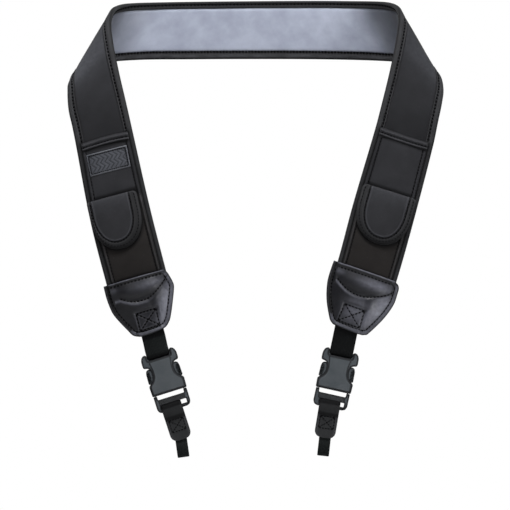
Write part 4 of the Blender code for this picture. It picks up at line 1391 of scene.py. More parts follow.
    def build_bag(self) -> None:
        """The pouch below the flap, flatter towards the end cap."""
        distance, across = self.cloth_plan(np.linspace(self.bag_foot, self.bag_top, 64))
        top = self.cloth_height(distance, across, self.bag_rib, self.bag_crown)
        top += 0.16 * ripple(across, distance, 24, 2.1 * self.arm.way) * eased(((0, 0.3), (20, 1)), distance)
        flap, _ = self.flap_lines()
        inwards = self.half(distance) - np.abs(across)
        # Painted shadow of the flap on the pouch, painted shade in the side folds and at the foot, and a painted
        # highlight along each side rib.
        under = 0.9 * eased(((0, 1), (1.2, 0.8), (4.5, 0)), nearest(flap, distance, across))
        under = under * eased(((self.rib_in, 0.25), (self.valley_in, 1)), inwards)
        painted_shade = np.maximum(np.maximum(self.side_fold(distance, across), under), 0.9 * bell(distance, 0, 1.6))
        wear_and_highlight = bell(inwards, self.rib_in - 0.3, 0.8) * (0.45 + 0.5 * bell(distance, 74, 4))
        shape = self.slab_on(distance, across, np.maximum(top, 2.55), self.floor, paired(painted_shade, wear_and_highlight))
        self.declare_sheet(self.finish("pouch", shape, Finish.POUCH, "pocket_bag"), distance, across)

    def round_end(self, edges: Pair, foot: float, length: float, corners: Pair = (0.1, 0.1)) -> Array:
        """The line round a flap, from its outer top corner to its inner one.

        Args:
            edges: where its two sides are across the arm.
            foot: how far its lowest point is above the end cap.
            length: how long its round end is.
            corners: the radii of its two top corners.

        Returns:
            The line's (distance above the end cap, across) points.
        """
        middle, half = sum(edges) / 2, (edges[1] - edges[0]) / 2
        turn = np.linspace(0, math.pi, 60)
        power = 0.92
        distance = foot + length - length * np.sin(turn) ** power
        across = middle - half * np.sign(np.cos(turn)) * np.abs(np.cos(turn)) ** power
        pieces = [paired(distance, across)]
        quarter = np.linspace(0, math.pi / 2, 7)
        for edge, way, radius in zip(edges, (1, -1), corners):
            top = self.flap_top - radius
            bend = paired(top + radius * np.cos(quarter), edge + way * radius * (1 - np.sin(quarter)))
            side = np.concatenate([bend, paired(np.linspace(top, foot + length, 13)[1:-1], edge)])
            pieces = [side, *pieces] if way > 0 else [*pieces, side[::-1]]
        return curve_through(np.concatenate(pieces), 150)

    def flap_lines(self, corners: Pair = (0.1, 0.1)) -> tuple[Array, Array]:
        """The flap's edge, with these radii at its two top corners, and the seam of its band."""
        edge = self.round_end(self.arm.flap_edge, self.arm.flap_foot, self.flap_round, corners)
        return edge, self.round_end(self.arm.flap_seam, self.arm.flap_seam_foot, self.flap_seam_round)

    def flap_floor(self, distance: Array) -> Array:
        """The flap's underside: low at its sewn top, and over the pouch below that."""
        return eased(((70, 6.7), (80, 5.6), (85, 3.9)), distance)

    def fold(self, distance: Array) -> Array:
        """How far the flap's face drops towards the fold at its top."""
        return eased(((0, -4.2), (0.35, -2.6), (1.1, -1.2), (2.6, -0.35), (6, 0)), self.flap_top - distance)

    def build_flap(self) -> None:
        """The flap's padded face, rounded off to the seam of its band."""
        seam = self.flap_lines()[1]
        middle = len(seam) // 2
        left, right = seam[:middle], seam[::-1][:middle]
        rows = self.flap_top - (self.flap_top - left[-1, 0]) * np.linspace(0, 1, 46) ** 1.25
        outer, inner = (np.interp(rows, *side[np.argsort(side[:, 0])].T) for side in (left, right))
        distance, share = plan(rows, (close_columns(37) + 1) / 2)
        across = outer[:, None] * (1 - share) + inner[:, None] * share
        inwards = np.minimum(nearest(seam, distance, across), 12)
        puff = eased(((0, -0.9), (0.5, -0.3), (1.3, 0.05), (2.3, -0.2), (3.2, -0.1), (6, 0.25), (12, 0.55)),
                     inwards)
        top = 8.7 + puff + self.fold(distance) + 0.1 * ripple(across, distance, 21, 0.4)
        floor = self.flap_floor(distance)
        down = self.flap_top - distance
        # Painted highlight on the top fold and just inside the seam, and painted shade along the seam.
        wear_and_highlight = 0.19 * eased(((0, 1), (6, 0.7), (22, 0)), down) + 0.3 * bell(inwards, 1.2, 0.6)
        light_and_wear_marks = paired(0.5 * bell(inwards, 0, 0.6), wear_and_highlight)
        shape = self.slab_on(distance, across, np.maximum(top, floor + 0.2), floor, light_and_wear_marks)
        self.finish("padded_flap", shape, Finish.NEOPRENE, "pocket_flap")

    def build_flap_band(self) -> None:
        """The folded band round the flap, with its stitches in the seam."""
        edge, seam = self.flap_lines(self.arm.flap_corners)
        whole = np.linalg.norm(edge - seam, axis=1)
        shares = np.concatenate([[0, 0.04, 0.1, 0.18, 0.27], np.linspace(0.36, 0.84, 6), [0.91, 0.96, 0.99, 1]])
        row, share = plan(np.arange(len(edge)), shares)
        blend = share[..., None]
        distance, across = np.moveaxis(seam[row] * (1 - blend) + edge[row] * blend, -1, 0)
        outwards, inwards = share * whole[row], (1 - share) * whole[row]
        height = eased(((0, -2), (0.35, -1), (1.1, -0.2), (2.4, 0.25), (4.2, 0.1), (20, 0.1)), inwards)
        groove = eased(((0, -1.2), (0.9, -1.1), (1.9, -0.2), (3, 0.1), (20, 0)), outwards)
        top = 8.9 + height + groove + self.fold(distance) + 0.12 * ripple(row, share * 4, 23)
        floor = self.flap_floor(distance) + 0.3
        top = np.maximum(top, floor + 0.2)
        # Painted shade: darker towards the band's lower end, away from the light above, and in and along the seam;
        # painted highlights on its ridges.
        hung = eased(((30, 0.85), (40, 0.7), (55, 0.3), (80, 0.08)), distance)
        painted_shade = [0.85 * bell(outwards, 0.6, 0.8), hung * bell(inwards, 0, 9), 0.7 * bell(inwards, 0, 0.7)]
        painted_shade = np.maximum.reduce([*painted_shade, 0.5 * bell(inwards, 3, 0.6)])
        lines = 0.5 * bell(outwards, 2.2, 0.5) + 0.4 * bell(inwards, 1.3, 0.4)
        shape, lay = Shape(), self.arm.lay
        slab(shape, lay(distance, across, top), lay(distance, across, floor), paired(outwards, row * 1),
             paired(painted_shade, lines * (1 - hung)))
        self.finish("flap_band", shape, Finish.BINDING, "flap_binding")
        stitches = Shape()
        for line, level in (
            (seam + (edge - seam) * (0.75 / np.maximum(whole, 1))[:, None], 8.05),
            (edge + (seam - edge) * (3 / whole)[:, None], 9),
        ):
            sew_on(self.arm, line[line[:, 0] < self.flap_top - 2.5], level, stitches, self.thread)
        self.finish_stitches("flap_stitches", stitches, "binding")

    def build_label(self) -> None:
        """The bare woven patch with its stitched border."""
        low, high = self.label_span
        rows = np.linspace(self.label_foot, self.label_top, 45)
        distance, across = plan(rows, np.linspace(low, high, 85))
        rim = np.minimum.reduce([across - low, high - across, distance - rows[0], rows[-1] - distance])
        base = self.cloth_height(distance, across, ((0, 3.9), (1, 3.9)), ((0, 4.1), (1, 4.1)))
        face = eased(((0, 0.35), (0.3, 0.75), (0.9, 0.95), (1.5, 0.55), (2, 0.5), (30, 0.62)), rim)
        cord = 0.1 * np.abs(np.sin((across + distance) * 2.1)) * (rim < 1.3)
        inside = eased(((2.6, 0), (3.6, 1)), rim)
        bend = np.abs((distance - rows[0] - 3) % 8 - 4)
        twill = np.abs(np.sin((across + bend) * math.pi / 4.6))
        top = base + face + cord + 0.25 * (twill - 0.5) * inside + 0.05 * ripple(across, distance, 13)
        # Painted shade in the border groove and in the twill's furrows, and a lighter line along the rim.
        painted_shade = np.maximum(0.75 * bell(rim, 2, 0.6), 0.8 * bell(twill, 0, 0.5) * inside)
        shape = self.slab_on(distance, across, top, base + 0.05, paired(painted_shade, 0.5 * bell(rim, 0.6, 0.5)))
        self.finish("bare_patch", shape, Finish.LABEL, "label")
        stitches = Shape()
        left, right, foot, head = low + 2, high - 2, rows[0] + 2, rows[-1] - 2
        corners = np.array([(foot, left), (head, left), (head, right), (foot, right), (foot, left)])
        thread = Thread(radius=0.34, stitch=1.8, gap=0.4)
        for start, end in zip(corners, corners[1:]):
            line = start + np.linspace(0, 1, 24)[:, None] * (end - start)
            sew_on(self.arm, line, 4.62, stitches, thread)
        self.finish_stitches("patch_stitches", stitches, "label_fabric")


# ---- End cap ----
@dataclass
class EndCap(ArmPart):
    """The leather shield sewn round one end of the strip and over the top of the webbing."""

    front_grid: tuple[int, int] = (136, 150)
    back_grid: tuple[int, int] = (60, 70)
    wall: float = 1.3
    middle_gap: float = 0.08
    top_stitch: float = 3.8
    seam_in: float = 4.5
    strip_half: float = 31.5
    thread: Thread = Thread(radius=0.55, stitch=2.4, gap=1.15)

    def __post_init__(self) -> None:
        """Prepares the outline, the arc and the box of stitches."""
        self.outline = curve_through(self.arm.cap_outline, 160)
        self.arc = curve_through(self.arm.cap_arc, 40)
        self.box = np.array(self.arm.cap_box)
        self.box_loop = np.concatenate([self.box, self.box[:1]])
        self.head = float(min(self.outline[0, 0], self.outline[-1, 0]))
        self.foot = float(self.outline[:, 0].max())

    def sides(self, down: Array) -> tuple[Array, Array]:
        """The outline's two edges.

        Args:
            down: distances down the cap.

        Returns:
            The lower and the higher distance across the strip at each of them.
        """
        turn = int(np.argmax(self.outline[:, 0]))
        one, other = (np.interp(down, *half.T) for half in (self.outline[: turn + 1], self.outline[turn:][::-1]))
        return np.minimum(one, other), np.maximum(one, other)

    def seam_line(self, inwards: float) -> Array:
        """The row of stitches inside the outline.

        Args:
            inwards: how far inside it is.

        Returns:
            The row's (down, across) points, below the row along the top.
        """
        loop = self.outline[:, ::-1].copy()
        normal = left_of(unit(np.gradient(loop, axis=0)))
        towards = np.sign(np.sum(normal * (loop.mean(axis=0) - loop), axis=1))
        line = (loop + normal * towards[:, None] * inwards)[:, ::-1]
        return line[line[:, 0] > self.top_stitch + 1.2]

    def front(self, down: Array, across: Array) -> Array:
        """The height of the front leather over the strip's middle surface.

        Args:
            down, across: the places, down the cap and across it.

        Returns:
            The heights.
        """
        rim = nearest(self.outline, down, across)
        height = eased(((0, 0.75), (0.3, 1.4), (0.9, 1.95), (3, 2.1), (4.4, 1.5), (5.4, 2.2), (9, 3.6),
                        (13, 5), (18, 6.2), (24, 6.6), (40, 6.6)), rim)
        over_strip = eased(((0, 4.35), (6, 4.6), (16, 4.3), (30, 0)), down)
        height = np.maximum(height, over_strip * eased(((0, 0), (3, 1)), self.strip_half - np.abs(across)))
        above = self.above_arc(down, across)
        within = np.exp(-((across / 23) ** 4))
        height += 1.4 * bell(down, 13, 7.5) * within * eased(((-1, 0), (6, 1)), above)
        height -= 0.9 * bell(above, 2.8, 2.6) * within
        height += 0.5 * bell(above, -3.8, 2.8) * within
        side = across * self.arm.cap_sign
        ridge = bell(side, 14 - (down - 30) * 0.05, 4) * bell(down, 37, 15)
        fold = bell(side, 7.5 + (down - 30) * 0.25, 1.9) * bell(down, 31.5, 5.5)
        dish = bell(side, -17, 7) * bell(down, 33, 12)
        wrinkles = ridge - 0.4 * fold - 0.7 * dish + 0.15 * ripple(across, down, 23, side.flat[0])
        height = self.over_webbing(down, across, height + wrinkles)
        arc, box, cross = self.rows_of_stitches(down, across)
        height -= 0.5 * bell(arc, 0, 1.2) + 0.5 * bell(box, 0, 1) + 0.35 * bell(cross, 0, 0.9)
        return height - 0.3 * bell(down, self.top_stitch, 1) * (np.abs(across) < 31)

    def above_arc(self, down: Array, across: Array) -> Array:
        """How far each place lies above the arc."""
        order = np.argsort(self.arc[:, 1])
        return np.interp(across, self.arc[order, 1], self.arc[order, 0]) - down

    def rows_of_stitches(self, down: Array, across: Array) -> tuple[Array, Array, Array]:
        """How far places are from the front's inner rows of stitches.

        Args:
            down, across: the places, down the cap and across it.

        Returns:
            Their distances from the arc, from the box and from the cross in it.
        """
        box = nearest(self.box_loop, down, across)
        cross = np.minimum(nearest(self.box[::2], down, across), nearest(self.box[1::2], down, across))
        return nearest(self.arc, down, across), box, cross

    def over_webbing(self, down: Array, across: Array, height: Array) -> Array:
        """Draws the leather down where it is sewn to the webbing, and keeps it over the webbing at its foot.

        Args:
            down, across: the places, down the cap and across it.
            height: the leather's height without the webbing.

        Returns:
            Its height with the webbing.
        """
        side = np.abs(across - self.box[:, 1].mean())
        top, foot = self.box[:2, 0].mean(), self.box[2:, 0].mean()
        sunk = eased(((11, 1), (14.5, 0)), side)
        sunk = sunk * eased(((-4, 0), (0.5, 1)), down - top) * eased(((-0.5, 1), (2.5, 0)), down - foot)
        padded = 4.15 + 0.22 * ripple(across, down, 9, 1) * bell(side, 0, 8)
        height = height * (1 - sunk) + padded * sunk
        mouth = eased(((12, 1), (15.5, 0)), side) * eased(((0, 0), (3, 1)), down - foot)
        return height * (1 - mouth) + mouth * (5 - 0.9 * bell(down, self.foot, 0.9))

    def light_and_wear_marks(self, down: Array, across: Array) -> Array:
        """The front leather's painted shade, and its wear and painted highlights.

        Args:
            down, across: the places, down the cap and across it.

        Returns:
            The painted shade, and the wear and painted highlight, of each place.
        """
        swell_highlight, box_highlight, flank_reach = self.arm.cap_highlights
        rim = nearest(self.outline, down, across)
        arc, box, cross = self.rows_of_stitches(down, across)
        top = bell(down, self.top_stitch, 0.8) * (np.abs(across) < 30)
        seam = bell(rim, self.seam_in, 0.7) * (down > self.top_stitch)
        side, above = across * self.arm.cap_sign, self.above_arc(down, across)
        # Painted shade in the rows of stitches, in the band below the top edge, along the outline, over the rim on
        # the side away from the light, and above the box.
        painted_shade = np.maximum.reduce([
            0.6 * bell(arc, 0, 0.9), 0.6 * bell(box, 0, 0.8), 0.6 * bell(cross, 0, 0.6), 0.7 * top, 0.7 * seam,
            0.8 * bell(down, self.top_stitch - 1.5, 1.2), bell(rim, 0, 0.8),
            bell(rim, 2.8, 1.6) * eased(((0, 1), (12, 0)), side) * (down < 50),
            0.5 * bell(down, 34, 1.4) * bell(side, 0, 11),
        ])
        # Painted highlights on the flank, the swell, under the arc, along the foot and the lit edge, and over the
        # box; a thin lighter line at the top edge.
        flank = bell(side, 24.5 - (down - 28) * 0.42, flank_reach)
        flank *= eased(((6, 0), (18, 0.7), (26, 1), (44, 0.85), (58, 0.5)), down)
        flank *= eased(((-4, 1), (-1, 0.6), (0.5, 0)), above)
        swell = bell(side, 13, 18) * bell(down, 10, 5) + 0.5 * bell(side, -26, 5) * bell(down, 7.5, 2.5)
        crescent = bell(above, -2.6, 1.4) * eased(((-24, 1), (0, 0.6), (20, 0)), side) * (np.abs(across) < 27)
        foot = eased(((0.8, 0), (1.6, 1), (3.8, 0.8), (4.6, 0)), rim) * eased(((46, 0), (54, 1)), down)
        edge = eased(((0.9, 0), (1.6, 1), (3.6, 0.7), (4.2, 0)), rim) * eased(((8, 0), (24, 1)), side)
        wear_and_highlight = np.maximum.reduce([
            bell(down, self.head + 0.6, 0.5), 0.25 * bell(rim, 1.5, 0.35), 0.2 * bell(cross, 1.4, 0.4),
            0.25 * bell(box, 1.5, 0.4), flank, swell_highlight * swell, 0.5 * crescent, 0.5 * foot, 0.5 * edge,
            box_highlight * bell(down, 40, 13) * bell(side, 2, 12) * (above < 0),
        ])
        return paired(painted_shade, wear_and_highlight * (0.9 + 0.1 * ripple(across, down, 19)))

    def back(self, down: Array, across: Array) -> Array:
        """The height of the back leather, below the strip's middle surface.

        Args:
            down, across: the places, down the cap and across it.

        Returns:
            The heights.
        """
        rim = nearest(self.outline, down, across)
        depth = eased(((0, 0.75), (0.35, 1.35), (1, 1.75), (3.2, 1.9), (4.4, 1.75), (6, 2.6), (9.5, 3.5),
                       (14, 3.9), (40, 4)), rim)
        edge = eased(((0, 0), (3, 1)), self.strip_half - np.abs(across))
        depth = np.maximum(depth, eased(((0, 4.3), (12, 4.3), (26, 0)), down) * edge)
        return -(depth + 0.12 * ripple(across, down, 16, 3))

    def build(self) -> None:
        """Builds the shield's two leathers and its stitches."""
        shape, lay = Shape(), self.arm.lay
        # The back leather gets less of the wear and painted highlights.
        for grid, surface, face, wear in (
            (self.front_grid, self.front, 1, 1), (self.back_grid, self.back, -1, 0.8)
        ):
            down, across = self.leather_plan(grid)
            outer = surface(down, across)
            inner = face * np.maximum(face * outer - self.wall, self.middle_gap)
            sheets = [lay(-down, across, height) for height in (outer, inner)][::face]
            slab(shape, *sheets, paired(across, down), self.light_and_wear_marks(down, across) * (1, wear))
        self.finish("leather_shield", shape, Finish.LEATHER, "end_cap", sharp=50)
        self.build_stitches()

    def leather_plan(self, grid: tuple[int, int]) -> tuple[Array, Array]:
        """Places over the whole outline.

        Args:
            grid: how many rows and columns they have.

        Returns:
            Their distances down the cap and across the strip.
        """
        share_down = np.linspace(0, 1, grid[0])
        downs = self.head + (self.foot - 0.05 - self.head) * (share_down * 1.15 - share_down**3 * 0.15)
        down, share = plan(downs, (close_columns(grid[1]) + 1) / 2)
        low, high = self.sides(down)
        return down, low * (1 - share) + high * share

    def build_stitches(self) -> None:
        """The rows of stitches: along the top, down the sides, round the arc and over the webbing."""
        shape = Shape()
        low, high = self.sides(np.array([self.top_stitch]))
        top = paired(np.full(40, self.top_stitch), np.linspace(low[0] + 5.5, high[0] - 5.5, 40))
        seam = self.seam_line(self.seam_in)
        rows = [top, seam, self.arc]
        rows += [np.linspace(start, end, 12) for start, end in zip(self.box_loop, self.box_loop[1:])]
        rows += [np.linspace(*self.box[::2], 16), np.linspace(*self.box[1::2], 16)]
        for surface, face, lines in ((self.front, 1, rows), (self.back, -1, (top, seam))):
            for line in lines:
                level = surface(line[:, 0], line[:, 1]) + 0.2 * face
                sew_on(self.arm, line * (-1, 1), level, shape, self.thread, face)
        self.finish_stitches("shield_stitches", shape, "leatherette")


# ---- Webbing, buckle, tab and lug loop ----
@dataclass(frozen=True)
class Band:
    """A flat band that follows a path seen from its side.

    Its drift is how far it lies off across by the distance down, and its shade the painted shade it gets there,
    such as painted shadows by the end cap and in the buckle's slot.
    """

    hang: Hang
    width: float
    wall: float
    columns: int = 29
    drift: Knots = ((0.0, 0.0), (1.0, 0.0))
    shade: Knots = ((0.0, 0.0), (1.0, 0.0))
    pale: float = 0.0

    def along(self, shape: Shape, path: Knots, count: int, widths: Callable[[Array], Array] | None = None) -> None:
        """Adds the band.

        Args:
            shape: the mesh in the making.
            path: the band's middle line, as (depth, down) points.
            count: the number of sections.
            widths: gives the share of the full width by the share of the path, where it isn't the same all along.
        """
        line = curve_through(path, count)
        normal = left_of(unit(np.gradient(line, axis=0)))
        share = close_columns(self.columns)
        full = np.sqrt(np.clip(1 - np.abs(share) ** 14, 0, 1)) * 0.5 + 0.02
        ring_across = np.concatenate([share, share[::-1]])
        ring_out = np.concatenate([full, -full[::-1]])
        row, column = plan(np.arange(count), np.arange(len(ring_across)))
        wide = np.ones(count) if widths is None else widths(np.linspace(0, 1, count))
        across = ring_across[column] * wide[row] * self.width / 2
        depth, down = np.moveaxis(line[row] + normal[row] * (ring_out[column] * self.wall)[..., None], -1, 0)
        places = self.hang.place(across + eased(self.drift, down), depth, down)
        wear_and_highlight = self.pale * eased(((0.7, 0), (0.8, 1)), np.abs(ring_across[column])) * (down > 9)
        loft(shape, places, paired(across, run_along(line)[row]), paired(eased(self.shade, down), wear_and_highlight))


@dataclass(frozen=True)
class Plate:
    """A moulded plate with rounded rims, from its outline and its holes."""

    hang: Hang
    front: float
    back: float
    rim: float = 0.9
    drop: float = 0.9
    steps: int = 4
    # How dark the rims are painted, as shade, and how much lighter the plate is painted, as light.
    shade: float = 0.5
    lit_and_worn: float = 0.0

    def add(self, shape: Shape, outline: Knots, holes: Sequence[Knots] = ()) -> None:
        """Adds the plate.

        Args:
            shape: the mesh in the making.
            outline: its outline, as (across, down) points.
            holes: the outlines of its holes.
        """
        loops = [turned_left(np.array(outline, float))]
        loops += [turned_left(np.array(hole, float))[::-1] for hole in holes]
        angles = np.linspace(0, math.pi / 2, self.steps + 1)
        levels = [(self.rim * (1 - math.cos(a)), self.front + self.drop * (1 - math.sin(a))) for a in angles[::-1]]
        levels.insert(0, (self.rim + 0.55, self.front))
        # The rims get painted shade, darkest at the outline.
        shades = [0, *np.linspace(0.8, 1, self.steps + 1)]
        shades += shades[::-1]
        levels += [(amount, self.front + self.back - depth) for amount, depth in reversed(levels)]
        light_and_wear_marks: list[Array] = []
        points: list[Array] = []
        faces: list[list[int]] = []
        starts: list[int] = []
        count = 0
        for loop in loops:
            size = len(loop)
            for (amount, depth), shade in zip(levels, shades):
                moved = inset(loop, amount)
                points.append(self.hang.place(moved[:, 0], depth, moved[:, 1]))
                light_and_wear_marks.append(np.tile([self.shade * shade, self.lit_and_worn], (size, 1)))
            index = np.arange(len(levels) * size).reshape(len(levels), size) + count
            faces += grid_quads(index, closed=True).tolist()
            starts.append(count)
            count += len(levels) * size
        for level in (0, len(levels) - 1):
            rims = [inset(loop, levels[level][0]) for loop in loops]
            numbers = np.concatenate([
                np.arange(len(rim)) + start + level * len(rim) for rim, start in zip(rims, starts)
            ])
            whole = np.concatenate(rims)
            for triangle in tessellate_polygon([[Vector((*point, 0)) for point in rim.tolist()] for rim in rims]):
                a, b, c = (whole[corner] for corner in triangle)
                area = (b[0] - a[0]) * (c[1] - a[1]) - (c[0] - a[0]) * (b[1] - a[1])
                if abs(area) < 1e-9:
                    continue
                corners = [int(numbers[corner]) for corner in triangle]
                faces.append(corners if (area > 0) == (level == 0) else corners[::-1])
        shape.add(np.concatenate(points), faces, light_and_wear_marks=np.concatenate(light_and_wear_marks))


@dataclass
class Buckle(ArmPart):
    """A side-release buckle: the socket, and the frame whose two prongs hold in it."""

    SOCKET = (
        (11.8, 0.2), (12.2, -1), (12.1, -5.4), (13.2, -6.4), (15.4, -6), (17.3, -4.2), (18.4, -0.8), (18.5, 4.2),
        (18, 6.2), (16.8, 6.8), (14.4, 7.2), (12.5, 8.5), (11.5, 12.5), (11.9, 17.6), (13.6, 21.8), (17.2, 24.1),
        (18.2, 25.8), (17.9, 35), (17.3, 36.1),
    )
    FACE = (
        (11.6, 1.3), (10.9, 5), (10.2, 9), (9.9, 13), (10.3, 17.6), (12.2, 21.4), (15.2, 23.9), (16.8, 26.4),
        (16.5, 34.8),
    )
    CROWN = (
        (9.4, 1.8), (12.6, -5), (13.8, -5.7), (15.2, -5.4), (16.6, -3.8), (17.6, -0.8), (17.7, 3.4), (16.8, 5),
        (13, 5.6), (10.4, 7.2),
    )
    WALL = ((15.4, 24.6), (17.3, 25.2), (17.8, 26.4), (17.4, 35.4), (15.4, 35.8))
    HEAD = (
        (9.5, 9), (14.2, 8.2), (16.4, 9.3), (17.4, 12.6), (17.7, 22.4), (16.9, 23.3), (14.9, 23.4), (12, 21.4),
        (9.8, 16),
    )
    SPRING = (
        (9.6, 13), (13.2, 13), (14.2, 22), (14.9, 26), (14.9, 38.5), (14.2, 38.5), (14.2, 35.6), (11.4, 35.6),
        (11, 24),
    )
    RAIL_TOP, BAR_TOP, FOOT = 36.4, 40.4, 54
    HALF, RAIL, CORNER = 17.3, 3.6, 4.4
    SLOT = (46.4, 50.6)
    WEB_BAR, CROSS_BAR, RIBBED_BAR = (13.4, -5.2, -1.6), (14.5, 30, 35.6), (13.7, 40.7, 46.1)

    def build(self) -> None:
        """Builds the socket and the frame."""
        self.build_socket()
        self.build_frame()

    def plate(
        self, shape: Shape, outline: Knots, half: float, rim: float, drop: float, steps: int = 2,
        shade: float = 0.5,
    ) -> None:
        """Adds a plate that is as thick in front of the buckle's middle as behind it."""
        Plate(self.arm.buckle, -half, half, rim, drop, steps, shade).add(shape, outline)

    @staticmethod
    def bar(sizes: Triple) -> Knots:
        """The outline of a bar, from half its length and its two edges."""
        half, top, foot = sizes
        return [(-half, top), (half, top), (half, foot), (-half, foot)]

    def build_socket(self) -> None:
        """The socket: a front and a back shell on a core, with the bar that holds the webbing."""
        hang = self.arm.buckle
        shape = Shape()
        outline = filleted(mirrored(self.SOCKET), 1.3)
        for front, back in ((-4.3, -2.5), (2.5, 4.3)):
            Plate(hang, front, back, rim=1.5, drop=1.2, steps=5, shade=1).add(shape, outline)
        # The left socket's face is painted lighter, as light.
        lit_and_worn = 0.3 if self.arm is LEFT else 0
        Plate(hang, -5, 5, drop=0.7, shade=0.9, lit_and_worn=lit_and_worn).add(shape, filleted(mirrored(self.FACE), 1.6))
        self.plate(shape, filleted(mirrored(self.CROWN), 1), 2.7, 0.2, 0.2)
        for sign in (1, -1):
            self.plate(shape, filleted(sided(self.WALL, sign), 0.4), 2.7, 0.2, 0.2)
        self.plate(shape, filleted(self.bar(self.WEB_BAR), 0.5), 1.6, 0.6, 0.6, 4)
        self.finish("socket", shape, Finish.PLASTIC, "buckle_socket", sharp=35)

    def build_frame(self) -> None:
        """The frame: prong heads with grip ribs, springs, rails, ribbed bar and the bar for the tab."""
        hang, half, corner = self.arm.buckle, self.HALF, self.CORNER
        inner, cut, left = half - self.RAIL, corner * 0.3, self.arm.slot_left
        half_outline = [
            (inner, self.BAR_TOP), (inner, self.RAIL_TOP), (half, self.RAIL_TOP), (half, self.FOOT - corner),
            (half - cut, self.FOOT - cut), (half - corner, self.FOOT),
        ]
        outline = filleted(mirrored(half_outline), 1.2)
        top, foot = self.SLOT
        slot = filleted([(left, top), (inner, top), (inner, foot), (left, foot)], 0.8)
        shape = Shape()
        Plate(hang, -3.2, 3.2, rim=1.3, drop=1.1, shade=1).add(shape, outline, [slot])
        self.plate(shape, filleted(self.bar(self.CROSS_BAR), 0.6), 2.1, 0.4, 0.4)
        for sign in (1, -1):
            self.plate(shape, filleted(sided(self.HEAD, sign), 1), 3.3, 1.2, 0.8, 4, 1)
            self.plate(shape, filleted(sided(self.SPRING, sign), 0.5), 2, 0.3, 0.3)
            for rib in np.linspace(11.6, 20.6, 7):
                start, end, high = 13 + 0.1 * abs(rib - 15), 17, 0.32
                ridge = [(start, rib - high), (end, rib - high), (end, rib + high), (start, rib + high)]
                self.plate(shape, sided(ridge, sign), 3.75, 0.2, 0.25, shade=0.2)
        self.finish("prong_frame", shape, Finish.PLASTIC, "buckle_frame", sharp=35)
        knurl = Shape()
        self.plate(knurl, filleted(self.bar(self.RIBBED_BAR), 0.5), 3.35, 0.3, 0.3, shade=1)
        for row, down in enumerate((41.7, 43.4, 45.1)):
            for number in range(17):
                across = -13.2 + number * 1.6 + 0.4 * (row % 2)
                for face in (-1, 1):
                    self.add_bump(knurl, across, down, face)
        self.finish("ribbed_bar", knurl, Finish.KNURL, sharp=25)

    def add_bump(self, shape: Shape, across: float, down: float, face: float) -> None:
        """One small pyramid of the ribbed bar's grip.

        Args:
            shape: the mesh in the making.
            across: its distance across the buckle.
            down: its distance down the buckle.
            face: -1 on the front of the bar and 1 on its back.
        """
        half, base, tip, top = 0.66, 3.1, 3.75, 0.3
        corners = [(-half, -half), (half, -half), (half, half), (-half, half)]
        points = [(across + x, face * base, down + y) for x, y in corners]
        points += [(across + x * top, face * tip, down + y * top) for x, y in corners]
        faces = [[0, 1, 2, 3], [7, 6, 5, 4], [0, 4, 5, 1], [1, 5, 6, 2], [2, 6, 7, 3], [3, 7, 4, 0]]
        shape.add(self.arm.buckle.place(*np.array(points).T), faces)


